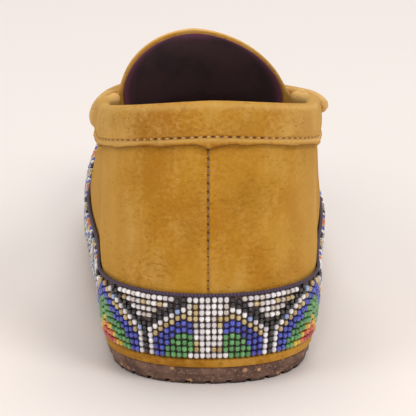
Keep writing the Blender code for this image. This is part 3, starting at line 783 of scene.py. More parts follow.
def suede(name, colours, tone_name, grain=0.00045, depth=0.00020):
    """Brushed suede: cloudy tone, pale upright strokes, short wrinkles darkened with painted shade,
    a fine nap, and painted sheen towards the shoe's sides.

    tone_name says which three tones of the settings it takes; the mesh's "mark" makes it paler
    above 0, from brushing and painted light, and darker below, from rubbed nap and painted shadow.
    """
    f = Finish(name, roughness=0.95, sheen_weight=0.16, sheen_roughness=0.5)
    middle, light, dark = (
        getattr(colours, tone_name + ending) for ending in ("", "_light", "_dark")
    )
    f.shader.inputs["Specular IOR Level"].default_value = 0.15
    f.shader.inputs["Sheen Tint"].default_value = light
    cloud = f.noise(0.022)
    stroke = f.noise(0.0060, detail=4.0, scale=(1.0, 1.0, 0.36))
    mottle = f.noise(0.0015, detail=2.0, scale=(1.0, 1.0, 1.2))
    nap = f.noise(grain, detail=2.0)
    wrinkle = f.ramp(f.noise(0.0022, scale=(1.0, 1.0, 2.4)), 0.56, 0.72)
    patch = f.ramp(f.noise(0.016, detail=1.0), 0.42, 0.58)
    outwards = f.node("ShaderNodeSeparateXYZ", inputs={0: f.places()}, output=0)
    sides = f.ramp(outwards * outwards, SHEEN_SIDES_START, SHEEN_SIDES_END)
    mark = f.attribute("mark")
    colour = f.mix(f.ramp(cloud * 0.7 + mottle * 0.3, 0.38, 0.57), dark, middle)
    tone = stroke * 0.45 + cloud * 0.35 + mottle * 0.2
    colour = f.mix(f.ramp(tone, 0.45, 0.66) * 0.80, colour, light)
    # Painted shade in the wrinkles
    colour = f.mix(wrinkle * patch * 0.60, colour, dark)
    colour = f.mix(f.ramp(nap, 0.40, 0.75) * 0.20, colour, light)
    # Painted sheen towards the shoe's sides
    colour = f.mix(sides * 0.55, colour, light)
    # Marks above 0 are brushing and painted light, and past 0.8 they are mostly painted light; marks
    # below 0 are rubbed nap and painted shadow
    colour = f.mix(mark * 0.60, colour, light)
    colour = f.mix(f.ramp(mark, 0.8, 2.0), colour, colours.pale_nap_and_light)
    colour = f.mix(mark * -0.9, colour, colours.dark_nap_and_shade)
    f.connect(base_color=colour)
    f.bump(nap + mottle * 1.4 + stroke * 0.8 - wrinkle * patch * 1.4, depth, 0.8)
    return f.material


def lining_finish(name, colours):
    """The dark violet lining with a faint weave; its rim, where "mark" is 1, carries a painted
    highlight.
    """
    f = Finish(name, roughness=0.72, sheen_weight=0.30, sheen_roughness=0.4)
    rim = colours.lining_rim_highlight
    f.shader.inputs["Sheen Tint"].default_value = rim
    cloud = f.ramp(f.noise(0.010), 0.3, 0.7)
    colour = f.mix(cloud, colours.lining_dark, colours.lining)
    colour = f.mix(f.attribute("mark"), colour, rim)
    f.connect(base_color=colour)
    f.bump(f.noise(0.0004, detail=2.0), 0.00005, 0.4)
    return f.material


def rubber_finish(colours):
    """Brown rubber, darker at the tread, with flecks of cork pressed into it."""
    f = Finish("flecked_rubber", roughness=0.85)
    cloud = f.ramp(f.noise(0.007, detail=4.0), 0.32, 0.68)
    ground = f.mix(cloud, colours.rubber, colours.rubber_light)
    grain = f.noise(0.0010)
    ground = f.mix(f.ramp(grain, 0.52, 0.68) * 0.8, ground, colours.rubber_worn)
    ground = f.mix(f.ramp(f.spots(0.0046), 0.22, 0.12), ground, colours.cork)
    pits = f.ramp(f.spots(0.0031, scale=(1.0, 1.0, 1.3)), 0.22, 0.12)
    ground = f.mix(pits * 0.6, ground, colours.rubber_pit)
    height = f.node("ShaderNodeSeparateXYZ", inputs={0: f.places()}, output=2)
    tread = f.ramp(height + f.noise(0.004) * 0.0016, TREAD_TOP, TREAD_TOP / 2)
    ground = f.mix(tread * 0.75, ground, colours.tread)
    f.connect(base_color=ground)
    f.bump(grain + cloud * 0.6, 0.0003, 0.6)
    return f.material


def footbed_finish(colours):
    f = Finish("footbed", roughness=0.88)
    tone = f.ramp(f.noise(0.012), 0.35, 0.65)
    f.connect(base_color=f.mix(tone, colours.footbed, colours.footbed_light))
    f.bump(f.noise(0.0007), 0.0002, 0.5)
    return f.material


def binding_finish(colours):
    """Dark violet yarn, wound in slanting turns along the length that "mark" gives in metres."""
    f = Finish("binding", roughness=0.85, sheen_weight=0.1)
    turned = f.attribute("mark") * WINDING
    wound = f.node("ShaderNodeMath", {"operation": "SINE"}, {0: turned})
    tone = f.ramp(wound, -0.8, 0.8)
    f.connect(base_color=f.mix(tone, colours.binding, colours.binding_light))
    f.bump(wound, 0.0001, 0.5)
    return f.material


def thread_finish(name, colour, shade):
    f = Finish(name, roughness=0.7)
    f.connect(base_color=f.mix(f.ramp(f.noise(0.0009), 0.35, 0.65), colour, shade))
    f.bump(f.noise(0.0003), 0.00005, 0.5)
    return f.material


# Glass beads: the colour, a darker shade of it, how metallic the lining inside is, and roughness
Glass = namedtuple("Glass", "colour shade metal rough")
GLASSES = {
    "white": Glass(paint(255, 254, 255), paint(214, 208, 214), 0.0, 0.16),
    "silver": Glass(paint(236, 230, 222), paint(190, 180, 170), 0.25, 0.20),
    "gold": Glass(paint(216, 194, 140), paint(176, 148, 96), 0.30, 0.22),
    "black": Glass(paint(30, 27, 34), paint(16, 14, 20), 0.0, 0.14),
    "pale": Glass(paint(168, 190, 232), paint(134, 160, 214), 0.1, 0.18),
    "blue": Glass(paint(76, 88, 200), paint(44, 52, 152), 0.0, 0.14),
    "green": Glass(paint(106, 172, 102), paint(68, 132, 72), 0.0, 0.16),
    "yellow": Glass(paint(232, 200, 62), paint(206, 160, 36), 0.0, 0.16),
    "orange": Glass(paint(232, 116, 44), paint(204, 84, 30), 0.0, 0.16),
    "red": Glass(paint(200, 48, 38), paint(160, 26, 26), 0.0, 0.16),
}


def glass_finish(name):
    """A shiny bead whose tone differs a little from bead to bead."""
    glass = GLASSES[name]
    f = Finish(
        "glass_" + name,
        roughness=glass.rough,
        metallic=glass.metal,
        coat_weight=1.0,
        coat_roughness=0.06,
    )
    f.connect(base_color=f.mix(f.attribute("tint"), glass.colour, glass.shade))
    return f.material


# What repeats


def scatter_tree():
    """Sets one small piece on every point, turned by the point's own angles, and joins them."""
    tree = bpy.data.node_groups.new("scattered_pieces", "GeometryNodeTree")
    face = tree.interface
    face.new_socket("Geometry", in_out="INPUT", socket_type="NodeSocketGeometry")
    face.new_socket("Piece", in_out="INPUT", socket_type="NodeSocketObject")
    face.new_socket("Finish", in_out="INPUT", socket_type="NodeSocketMaterial")
    face.new_socket("Wobble", in_out="INPUT", socket_type="NodeSocketFloat")
    face.new_socket("Seed", in_out="INPUT", socket_type="NodeSocketInt")
    face.new_socket("Geometry", in_out="OUTPUT", socket_type="NodeSocketGeometry")

    def node(kind, settings=None, inputs=None):
        return add_node(tree, kind, settings, inputs)

    start = node("NodeGroupInput").outputs
    piece = node("GeometryNodeObjectInfo", inputs={"Object": start["Piece"]})
    turn = node(
        "GeometryNodeInputNamedAttribute", {"data_type": "FLOAT_VECTOR"}, {"Name": "turn"}
    )
    size = node(
        "GeometryNodeInputNamedAttribute", {"data_type": "FLOAT_VECTOR"}, {"Name": "size"}
    )
    least = node("ShaderNodeMath", {"operation": "MULTIPLY"}, {0: start["Wobble"], 1: -1.0})
    wobble = node(
        "FunctionNodeRandomValue",
        {"data_type": "FLOAT_VECTOR"},
        {0: least.outputs[0], 1: start["Wobble"], "Seed": start["Seed"]},
    )
    turned = node(
        "ShaderNodeVectorMath", {"operation": "ADD"}, {0: turn.outputs[0], 1: wobble.outputs[0]}
    )
    placed = node(
        "GeometryNodeInstanceOnPoints",
        inputs={
            "Points": start["Geometry"],
            "Instance": piece.outputs["Geometry"],
            "Rotation": turned.outputs[0],
            "Scale": size.outputs[0],
        },
    )
    tint = node(
        "FunctionNodeRandomValue",
        {"data_type": "FLOAT"},
        {2: 0.0, 3: 1.0, "Seed": start["Seed"]},
    )
    marked = node(
        "GeometryNodeStoreNamedAttribute",
        {"data_type": "FLOAT", "domain": "INSTANCE"},
        {"Geometry": placed.outputs[0], "Name": "tint", "Value": tint.outputs[1]},
    )
    joined = node("GeometryNodeRealizeInstances", inputs={"Geometry": marked.outputs[0]})
    painted = node(
        "GeometryNodeSetMaterial",
        inputs={"Geometry": joined.outputs[0], "Material": start["Finish"]},
    )
    node("NodeGroupOutput", inputs={0: painted.outputs[0]})
    return tree


Spot = namedtuple("Spot", "place turn size")


def scattered(name, spots, piece, finish, wobble=0.0, seed=1):
    """One mesh with a copy of a small piece on every spot."""
    points = bpy.data.meshes.new(name + "_points")
    points.from_pydata([spot.place for spot in spots], [], [])
    for label, values in (
        ("turn", [c for spot in spots for c in spot.turn]),
        ("size", [c for spot in spots for c in spot.size]),
    ):
        points.attributes.new(label, "FLOAT_VECTOR", "POINT").data.foreach_set("vector", values)
    carrier = add_object(name + "_points", points)
    tree = bpy.data.node_groups.get("scattered_pieces") or scatter_tree()
    modifier = carrier.modifiers.new("scatter", "NODES")
    modifier.node_group = tree
    sockets = {
        item.name: item.identifier
        for item in tree.interface.items_tree
        if item.in_out == "INPUT"
    }
    for label, value in (
        ("Piece", piece),
        ("Finish", finish),
        ("Wobble", wobble),
        ("Seed", seed),
    ):
        modifier[sockets[label]] = value
    graph = bpy.context.evaluated_depsgraph_get()
    mesh = bpy.data.meshes.new_from_object(carrier.evaluated_get(graph), depsgraph=graph)
    mesh.name = name
    carrier.modifiers.remove(modifier)
    bpy.data.objects.remove(carrier, do_unlink=True)
    mesh.shade_smooth()
    return mesh


def small_piece(name, profile, sides):
    """A small turned piece, from (radius, height) points; a closed profile makes a ring."""
    bm = bmesh.new()
    rings = []
    for r, z in profile:
        corners = [(r * math.cos(a), r * math.sin(a), z) for a in ring_angles(sides)]
        rings.append([bm.verts.new(corner) for corner in corners])
    for here, following in zip(rings, rings[1:] + rings[:1]):
        for i in range(sides):
            k = (i + 1) % sides
            bm.faces.new((here[i], here[k], following[k], following[i]))
    return add_object(name, finish_mesh(bm, name, ALL_SMOOTH))


def thread_piece():
    """One stitch's visible thread: a rounded pin along X, one unit long and wide."""
    bm = bmesh.new()
    bmesh.ops.create_uvsphere(bm, u_segments=6, v_segments=4, radius=0.5)
    bmesh.ops.rotate(bm, verts=bm.verts, matrix=Matrix.Rotation(math.pi / 2, 3, "Y"))
    return add_object("thread", finish_mesh(bm, "thread", ALL_SMOOTH))


def lay_thread(name, spots, colour, shade):
    """One colour of a seam's thread, a short pin on every spot."""
    piece = thread_piece()
    finish = thread_finish(name, colour, shade)
    make_object(name, scattered(name, spots, piece, finish), finish)
    bpy.data.objects.remove(piece, do_unlink=True)


def facing(run, out):
    """The angles that lay a piece's X along run and its Y towards out."""
    run = run.normalized()
    out = (out - run * out.dot(run)).normalized()
    return Matrix((run, out, run.cross(out))).transposed().to_euler("XYZ")


# Settings


def measure(name, description, default, unit="LENGTH"):
    """A size in metres, or a power in watts, that the panel can change."""
    return FloatProperty(name=name, description=description, default=default, unit=unit)


def colour_setting(name, description, *levels):
    """A colour that the panel can change; its default is given as a screen shows it."""
    return FloatVectorProperty(
        name=name, description=description, default=paint(*levels), size=4, subtype="COLOR",
        min=0.0, max=1.0,
    )


class MoccasinColours(bpy.types.PropertyGroup):
    # Each _light tone is also the painted sheen towards the shoe's sides and the painted light of the
    # marks; each _dark tone is also the painted shade in the suede's wrinkles
    upper: colour_setting("Upper", "Suede of the upper and apron", 193, 140, 44)
    upper_light: colour_setting("Upper, light", "Brushed suede of the upper", 206, 160, 80)
    upper_dark: colour_setting("Upper, dark", "Creased suede of the upper", 179, 122, 32)
    cuff: colour_setting("Cuff", "Suede of the cuff", 192, 139, 46)
    cuff_light: colour_setting("Cuff, light", "Brushed suede of the cuff", 212, 170, 96)
    cuff_dark: colour_setting("Cuff, dark", "Creased suede of the cuff", 172, 113, 30)
    tongue: colour_setting("Tongue", "Suede of the tongue", 208, 154, 66)
    tongue_light: colour_setting("Tongue, light", "Brushed suede of the tongue", 218, 170, 92)
    tongue_dark: colour_setting("Tongue, dark", "Creased suede of the tongue", 188, 132, 46)
    rand: colour_setting("Rand", "Suede of the rand", 186, 132, 42)
    rand_light: colour_setting("Rand, light", "Brushed suede of the rand", 204, 154, 72)
    rand_dark: colour_setting("Rand, dark", "Creased suede of the rand", 154, 102, 26)
    lace: colour_setting("Lace", "Suede of the lace", 214, 168, 94)
    lace_light: colour_setting("Lace, light", "Brushed suede of the lace", 226, 188, 124)
    lace_dark: colour_setting("Lace, dark", "Creased suede of the lace", 194, 144, 66)
    # Painted light on the cuff's inside ends, the tongue's rim and the heel's outer edge, and the
    # palest brushing
    pale_nap_and_light: colour_setting("Nap, pale", "Where the nap is brushed up most", 232, 184, 112)
    # Rubbed-down nap, and painted shadow under the cuff's lip
    dark_nap_and_shade: colour_setting("Nap, dark", "Where the nap is rubbed down", 112, 70, 22)
    lining: colour_setting("Lining", "Lining of upper and tongue", 68, 46, 52)
    lining_dark: colour_setting("Lining, dark", "The lining's darker clouds", 50, 35, 40)
    # Painted highlight on the tongue lining's rim, and the lining's sheen tint
    lining_rim_highlight: colour_setting("Lining, rim", "The tongue lining's edge", 118, 68, 96)
    footbed: colour_setting("Footbed", "Insole pad", 150, 112, 66)
    footbed_light: colour_setting("Footbed, light", "The pad's paler clouds", 176, 134, 84)
    rubber: colour_setting("Rubber", "Outsole", 92, 64, 55)
    rubber_light: colour_setting("Rubber, light", "The outsole's paler clouds", 126, 96, 80)
    rubber_worn: colour_setting("Rubber, worn", "Rubbed grain of the outsole", 152, 122, 102)
    rubber_pit: colour_setting("Rubber, pits", "Small pits in the outsole", 56, 38, 36)
    cork: colour_setting("Cork", "Flecks in the outsole", 190, 148, 104)
    tread: colour_setting("Tread", "The outsole next to the floor", 46, 32, 30)
    binding: colour_setting("Binding", "Yarn over the beads, in its turns", 58, 44, 62)
    binding_light: colour_setting("Binding, light", "The yarn's crests", 88, 72, 94)
    backing: colour_setting("Backing", "Cloth under the beads", 118, 100, 98)
    backing_dark: colour_setting("Backing, dark", "The cloth's darker spots", 84, 68, 66)
    floor: colour_setting("Floor", "Studio floor", 246, 240, 237)
    floor_light: colour_setting("Floor, light", "The floor's paler clouds", 247, 241, 238)
    sky: colour_setting("Sky", "Light all round", 248, 244, 243)


class MoccasinLeather(bpy.types.PropertyGroup):
    suede_thickness: measure("Suede", "Thickness of the suede", 0.0011)
    cuff_swell: measure("Cuff swell", "How full the folded cuff is", 0.0005)
    lip_height: measure("Lip", "Cuff below its stitching", 0.0026)
    lip_wave: measure("Lip wave", "How wavy the cuff's lower edge is", 0.00025)
    lip_dip: measure("Lip dip", "Dip of the lip at the heel seam", 0.0018)
    seam_depth: measure("Seam", "Depth of the heel seam's groove", 0.0006)
    stitch_pitch: measure("Stitch", "Length of one stitch", 0.0028)
    stitch_width: measure("Thread", "Diameter of the thread", 0.00048)
    tongue_rim: measure("Rim", "Suede that shows round the tongue's lining", 0.0013)


class MoccasinBeadwork(bpy.types.PropertyGroup):
    columns: IntProperty(name="Columns", description="Beads round the shoe", default=286)
    rows: IntProperty(name="Rows", description="Beads up the band", default=10)
    bead_width: measure("Width", "Diameter of a bead", 0.00182)
    bead_height: measure("Height", "Length of a bead along its hole", 0.00198)
    top_row: measure("Top row", "Height of the top row's middle", 0.0315)
    row_pitch: measure("Pitch", "Height from row to row", 0.00222)
    backing: measure("Backing", "Thickness of the cloth under the beads", 0.00025)
    wobble: FloatProperty(
        name="Wobble", description="How far beads tilt", default=0.07, subtype="ANGLE"
    )
    seed: IntProperty(name="Seed", description="Start of the random tilts", default=7)


class MoccasinStage(bpy.types.PropertyGroup):
    camera_place: FloatVectorProperty(
        name="Camera", description="Where the camera stands", default=(-0.0447, -1.133, 0.386),
        subtype="TRANSLATION",
    )
    camera_pitch: FloatProperty(
        name="Pitch", description="How far the camera looks down", default=math.radians(16.38),
        subtype="ANGLE",
    )
    camera_yaw: FloatProperty(
        name="Yaw", description="How far the camera turns right", default=math.radians(2.29),
        subtype="ANGLE",
    )
    lens: FloatProperty(name="Lens", description="Focal length in millimetres", default=299.0)
    key_power: measure("Key", "Power of the lamp on the outer side", 9.8, "POWER")
    fill_power: measure("Fill", "Power of the lamp on the inner side", 6.0, "POWER")
    top_power: measure("Top", "Power of the lamp overhead", 12.5, "POWER")
    spark_power: measure("Spark", "Power of the small lamp that the beads mirror", 1.6, "POWER")
    sky: FloatProperty(name="Sky", description="Strength of the light all round", default=0.40)


# Operators


Lamp = namedtuple("Lamp", "place size")
LAMPS = {
    "key": Lamp((0.85, -0.95, 1.15), 0.9),
    "fill": Lamp((-1.25, -0.70, 0.95), 1.1),
    "top": Lamp((0.10, 0.55, 1.60), 1.4),
    "spark": Lamp((-0.15, -1.30, 0.95), 0.16),
}
LAMP_AIM = Vector((0.0, 0.03, 0.05))
LAMP_TINT = (1.0, 0.965, 0.93)
FLOOR_RADIUS = 4.0


class MOCCASIN_OT_stage(bpy.types.Operator):
    """Floor, lights and camera"""

    bl_idname = "moccasin.stage"
    bl_label = "Build the stage"

    def execute(self, context):
        stage, colours = context.scene.moccasin_stage, context.scene.moccasin_colours
        self.floor(colours)
        context.scene.world = self.studio(stage.sky, colours.sky)
        for name, lamp in LAMPS.items():
            self.lamp(name, lamp, getattr(stage, name + "_power"))
        data = bpy.data.cameras.new("camera")
        data.lens = stage.lens
        data.clip_start, data.clip_end = 0.05, 20.0
        camera = add_object("camera", data)
        camera.location = stage.camera_place
        camera.rotation_euler = (math.pi / 2 - stage.camera_pitch, 0.0, -stage.camera_yaw)
        context.scene.camera = camera
        context.scene.view_settings.view_transform = "Standard"
        return {"FINISHED"}

    def floor(self, colours):
        bm = bmesh.new()
        bmesh.ops.create_circle(bm, cap_ends=True, segments=64, radius=FLOOR_RADIUS)
        made = add_object("floor", finish_mesh(bm, "floor"))
        f = Finish("floor", roughness=0.9)
        tone = f.ramp(f.noise(0.4), 0.2, 0.8)
        f.connect(base_color=f.mix(tone, colours.floor, colours.floor_light))
        made.data.materials.append(f.material)

    def studio(self, strength, colour):
        world = bpy.data.worlds.new("studio")
        world.use_nodes = True
        back = world.node_tree.nodes["Background"]
        back.inputs["Color"].default_value = colour
        back.inputs["Strength"].default_value = strength
        return world

    def lamp(self, name, lamp, power):
        data = bpy.data.lights.new(name, "AREA")
        data.shape = "DISK"
        data.size = lamp.size
        data.energy = power
        data.color = LAMP_TINT
        made = add_object(name, data)
        made.location = lamp.place
        aim = LAMP_AIM - Vector(lamp.place)
        made.rotation_euler = aim.to_track_quat("-Z", "Y").to_euler()


class MOCCASIN_OT_sole(bpy.types.Operator):
    """Rubber on the outsole, and the footbed inside"""

    bl_idname = "moccasin.sole"
    bl_label = "Build the sole"
    dish = 0.0004
    dish_shares = (0.8, 0.4, 0.0)
    bevel_steps = 4

    def execute(self, context):
        colours = context.scene.moccasin_colours
        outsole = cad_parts["outsole"]
        outsole.data.materials.clear()
        outsole.data.materials.append(rubber_finish(colours))
        mesh = swept("insole_pad", [self.pad(around(turn)) for turn in fine_turns()], loop=False)
        make_object("insole_pad", mesh, footbed_finish(colours), ["insole"])
        return {"FINISHED"}

    def pad(self, s):
        """The footbed in a section: it drops into the margin's opening and lies on the margin."""
        reach = feather(s)[0]
        inner, outer = reach - MARGIN - FIT, reach - WALL - FIT
        over = 2 * GAP + WALL
        top = over + INSOLE_THICKNESS
        section = [(0.0, GAP), (inner, GAP), (inner, over), (outer, over)]
        section += [
            (outer - INSOLE_BEVEL * (1 - math.cos(a)), top - INSOLE_BEVEL * (1 - math.sin(a)))
            for a in span(0.0, math.pi / 2, self.bevel_steps)
        ]
        section += [(outer * share, top - self.dish) for share in self.dish_shares]
        return [in_space(s, on_sole(s, r, SOLE_THICKNESS + height)) for r, height in section]


def upper_levels(s):
    return span(-1.0, 0.0, SIDE_LEVELS) + span(0.0, top_v(s), TOP_LEVELS)[1:]


# Swellings, grooves and pale lines of the suede: where their middle lies, their half-width, and how
# far they stand out, or how pale they are
Swell = namedtuple("Swell", "middle width height")
OVER_BAND = Swell(0.0085, 0.0070, WALL * 0.22)
BAND_PULL = Swell(0.0008, 0.0012, WALL * -0.12)
UNDER_CUFF = Swell(-0.0008, 0.0011, -0.0006)
SEAM_RIDGE = Swell(0.0010, 0.0010, 0.00030)
SEAM_GROOVE_WIDTH = 0.00035
SEAM_REACH = 0.004
OVER_BAND_START = 0.004
CROWN_FADE = 0.1


def swell(distance, shape):
    return shape.height * bell(distance - shape.middle, shape.width)


def shell_relief(s, turn, v, place, lines, seam_depth):
    """How far the suede wall departs from the last: the band's pull, the creases, the seam."""
    height = place.z - s.lift
    over = height - BAND_TOP
    bulge = swell(over, BAND_PULL)
    if over > 0:
        bulge += swell(over, OVER_BAND) * min(1.0, over / OVER_BAND_START)
    if v > 1 - CROWN_FADE:
        bulge *= max(0.0, (1 - v) / CROWN_FADE)
    if s.along < THROAT_CORNER:
        bulge += swell(height - collar_z(s) + CUFF_DEPTH, UNDER_CUFF)
    bulge += relief(lines, place)
    from_seam = abs(turn - SEAM_TURN) * HEEL_RUN
    if from_seam < SEAM_REACH and height > BAND_TOP:
        bulge += swell(from_seam, SEAM_RIDGE) - seam_depth * bell(from_seam, SEAM_GROOVE_WIDTH)
    return bulge


class MOCCASIN_OT_upper(bpy.types.Operator):
    """The suede shell, its lining and the heel seam"""

    bl_idname = "moccasin.upper"
    bl_label = "Build the upper"
    lining_gap = 0.0001
    thread_sink = 0.0001
    seam_start, seam_stop = 0.0026, 0.0022
    stitch_length = 0.0012
    stitch_swell = 1.1
    stitch_lean = 0.55
    stitch_rises = (-0.35, 1.0)

    def execute(self, context):
        leather, colours = context.scene.moccasin_leather, context.scene.moccasin_colours
        turns = fine_turns()
        stations = [around(turn) for turn in turns]
        closed = [s.along >= THROAT_POINT - SAME for s in stations]
        lines = crease_lines()
        shell, lining = [], []
        thick = leather.suede_thickness
        for turn, s in zip(turns, stations):
            low_r, base = feather(s)[0], SOLE_THICKNESS + GAP
            levels = upper_levels(s)[1:]
            outer = [on_sole(s, low_r - MARGIN, base), on_sole(s, low_r, base)]
            for v in levels:
                place = in_space(s, wall_point(s, v))
                outer.append(
                    wall_point(s, v, shell_relief(s, turn, v, place, lines, leather.seam_depth))
                )
            inner = [on_sole(s, low_r - MARGIN, base + thick)]
            inner += [on_sole(s, low_r - thick, base + thick)]
            inner += [wall_point(s, v, -thick - 2 * self.lining_gap) for v in levels]
            shell.append([in_space(s, point) for point in outer + inner[::-1]])
            skin = levels[1:-1]
            face = [wall_point(s, v, -thick - 3 * self.lining_gap) for v in skin]
            back = [wall_point(s, v, -WALL) for v in skin]
            lining.append([in_space(s, point) for point in face + back[::-1]])

        def inside(i, j, strip):
            """Whether a strip lies between the two skins at the crown, where the vamp is closed."""
            return strip == len(shell[0]) // 2 - 1 and closed[i] and closed[j]

        finish = suede("suede_upper", colours, "upper")
        marks = [[brushed(place) for place in row] for row in shell]
        mesh = swept("upper_suede", shell, leave_out=inside, marks=marks)
        make_object("upper_suede", mesh, finish, ["upper"])
        finish = lining_finish("lining", colours)
        make_object("upper_lining", swept("upper_lining", lining), finish)
        self.seam(leather)
        return {"FINISHED"}

    def seam(self, leather):
        """Thread across the heel seam, from the cuff down to the beadwork."""
        s = around(SEAM_TURN)
        low, high = BAND_TOP + self.seam_start, COLLAR_HEIGHT - CUFF_DEPTH - self.seam_stop
        count = round((high - low) / (leather.stitch_pitch / 2))
        width = leather.stitch_width * self.stitch_swell
        out = Vector((s.way.x, s.way.y, 0.0))
        spots = []
        for i in range(count + 1):
            height = low + (high - low) * i / count
            place = in_space(s, wall_point(s, v_at_height(s, height), -self.thread_sink))
            run = Vector((self.stitch_lean, 0.0, self.stitch_rises[i % 2]))
            spots.append(Spot(place, facing(run, out), (self.stitch_length, width, width)))
        lay_thread("seam_thread_dark", spots[0::2], paint(96, 62, 44), paint(76, 48, 36))
        lay_thread("seam_thread_light", spots[1::2], paint(160, 138, 128), paint(130, 108, 104))


class MOCCASIN_OT_cuff(bpy.types.Operator):
    """The folded collar with its stitched lip"""

    bl_idname = "moccasin.cuff"
    bl_label = "Build the cuff"
    outer_steps = 30
    fold_steps = 10
    inner_steps = 8
    inner_share = 0.8
    skin_end = 0.97
    end_shares = (0.55, 0.85, 0.97)
    # Painted light on the cuff's inside near its front ends, where it lies in shade: up to
    # front_light, fading over front_sections sections from each end
    front_light = 1.7
    front_sections = 12.0
    fold_start = 33
    # Painted highlights along the fold and the ridge under the stitches, and painted shadow along the
    # lip's lower edge
    fold_highlight = Swell(0.0, 0.0011, 1.0)
    ridge_highlight = Swell(0.0, 0.0007, 1.2)
    ridge_drop = 0.0008
    lip_shade = Swell(0.0, 0.0008, 1.1)
    slow_wave, quick_wave = 171, 393
    quick_share, quick_start = 0.6, 1.0
    dip_width = 0.0024
    pinch_ridge = Swell(-0.0010, 0.0006, 0.00022)
    pinch_groove = Swell(0.0, 0.0006, 0.00062)
    pinch_least = 0.25
    pinch_spread = 0.11
    swell_power = 0.8
    flare = 0.00030
    flare_power = 1.3
    flare_inside = 0.7
    under = 0.0004
    dark_half = 0.0185
    thread_sink = 0.00030
    stitch_length = 0.0013
    stitch_swell = 1.4

    def execute(self, context):
        leather, colours = context.scene.moccasin_leather, context.scene.moccasin_colours
        first, last = turn_of(THROAT_CORNER), 1 - turn_of(THROAT_CORNER)
        turns = [turn for turn in fine_turns() if first - SAME <= turn <= last + SAME]
        rows, marks = [], []
        for i, turn in enumerate(turns):
            near = min(i, len(turns) - 1 - i)
            full = self.end_shares[near] if near < len(self.end_shares) else 1.0
            s = around(turn)
            rows.append(self.section(s, turn, leather, full))
            # front is painted light on the inside near the cuff's ends
            front = self.front_light * bell(near, self.front_sections)
            marks.append(
                [
                    self.pale(s, turn, place.z, leather)
                    + (front if j > self.fold_start else brushed(place))
                    for j, place in enumerate(rows[-1])
                ]
            )
        mesh = swept("cuff_suede", rows, ring=False, marks=marks)
        finish = suede("suede_cuff", colours, "cuff")
        make_object("cuff_suede", mesh, finish, ["collar_cuff"])
        self.stitches(turns, leather)
        return {"FINISHED"}

    def pale(self, s, turn, height, leather):
        """Painted light on the cuff: a painted highlight along the fold and on the ridge under the
        stitches, and a painted shadow at the lip.
        """
        fold = collar_z(s) + CUFF_THICKNESS
        ridge = collar_z(s) - CUFF_DEPTH + leather.lip_height - self.ridge_drop
        lowest = collar_z(s) - CUFF_DEPTH - self.lip(turn, leather)
        pale = swell(height - fold, self.fold_highlight) + swell(height - ridge, self.ridge_highlight)
        return pale - swell(height - lowest, self.lip_shade)

    def lip(self, turn, leather):
        """How far the lip hangs below its usual place: two waves and the heel seam's dip."""
        wave = math.sin(turn * self.slow_wave)
        wave += self.quick_share * math.sin(turn * self.quick_wave + self.quick_start)
        seam = bell((turn - SEAM_TURN) * HEEL_RUN, self.dip_width)
        return leather.lip_wave * wave + leather.lip_dip * seam

    def section(self, s, turn, leather, full):
        """The cuff in a section: up the outside, over the collar and down inside, then back."""
        collar = collar_z(s)
        lowest = collar - CUFF_DEPTH - self.lip(turn, leather)
        top = top_v(s)
        stitch = collar - CUFF_DEPTH + leather.lip_height
        rim_r, rim_z = wall_point(s, top, -WALL / 2)
        lean = Vector(wall_point(s, top)) - Vector((rim_r, rim_z))
        tilt = math.atan2(lean.y, lean.x)
        thick = CUFF_THICKNESS * full
        outside, inside = [], []
        for share in span(0.0, 1.0, self.outer_steps):
            z = lowest + (collar - lowest) * share
            v = v_at_height(s, z)
            above = (z - stitch) / (collar - stitch)
            arch = math.sin(math.pi * max(0.0, min(1.0, above)))
            fullness = leather.cuff_swell * arch**self.swell_power
            below = max(0.0, (stitch - z) / leather.lip_height)
            flare = self.flare * below**self.flare_power
            offset = GAP + thick + (fullness + self.pinch(turn, z - stitch) + flare) * full
            if share == 0.0:
                offset -= self.under
            outside.append(wall_point(s, v, offset))
            if share < self.skin_end:
                inside.append(wall_point(s, v, GAP + flare * self.flare_inside * full))
        outside = outside[:-1]
        turns = span(tilt, tilt + math.pi, self.fold_steps)

        def over(radius):
            return [(rim_r + radius * math.cos(a), rim_z + radius * math.sin(a)) for a in turns]

        drop = span(0.0, self.inner_share, self.inner_steps)[1:]
        down = [v_at_height(s, collar - (collar - lowest) * share) for share in drop]
        outer = over(WALL / 2 + GAP + thick)
        outer += [wall_point(s, v, -WALL - GAP - thick) for v in down]
        inner = over(WALL / 2 + GAP)
        inner += [wall_point(s, v, -WALL - GAP) for v in down]
        loop = outside + outer + (inside + inner)[::-1]
        return [in_space(s, point) for point in loop]

    def pinch(self, turn, over_stitch):
        """The thread's pull: a groove at the stitches over a low ridge, deepest behind."""
        pull = swell(over_stitch, self.pinch_ridge) - swell(over_stitch, self.pinch_groove)
        behind = bell(turn - 0.5, self.pinch_spread)
        return pull * (self.pinch_least + (1 - self.pinch_least) * behind)

    def across_back(self, spot):
        """Whether a stitch lies in the middle of the heel, where the thread is painted darkest as
        shade in the stitch holes.
        """
        return abs(spot.place.x) < self.dark_half and spot.place.y < 0

    def stitches(self, turns, leather):
        """The line of holes and thread just above the lip."""
        chain = []
        for turn in turns[1:-1]:
            s = around(turn)
            v = v_at_height(s, collar_z(s) - CUFF_DEPTH + leather.lip_height)
            chain.append(in_space(s, wall_point(s, v, GAP + CUFF_THICKNESS - self.thread_sink)))
        places = even_chain(chain, leather.stitch_pitch / 2)
        width = leather.stitch_width * self.stitch_swell
        spots = []
        for a, b in zip(places[1:], places[2:]):
            run = b - a
            out = Vector((run.y, -run.x, 0.0))
            spots.append(Spot(a, facing(run, out), (self.stitch_length, width, width)))
        back = [spot for spot in spots[0::2] if self.across_back(spot)]
        side = [spot for spot in spots[0::2] if not self.across_back(spot)]
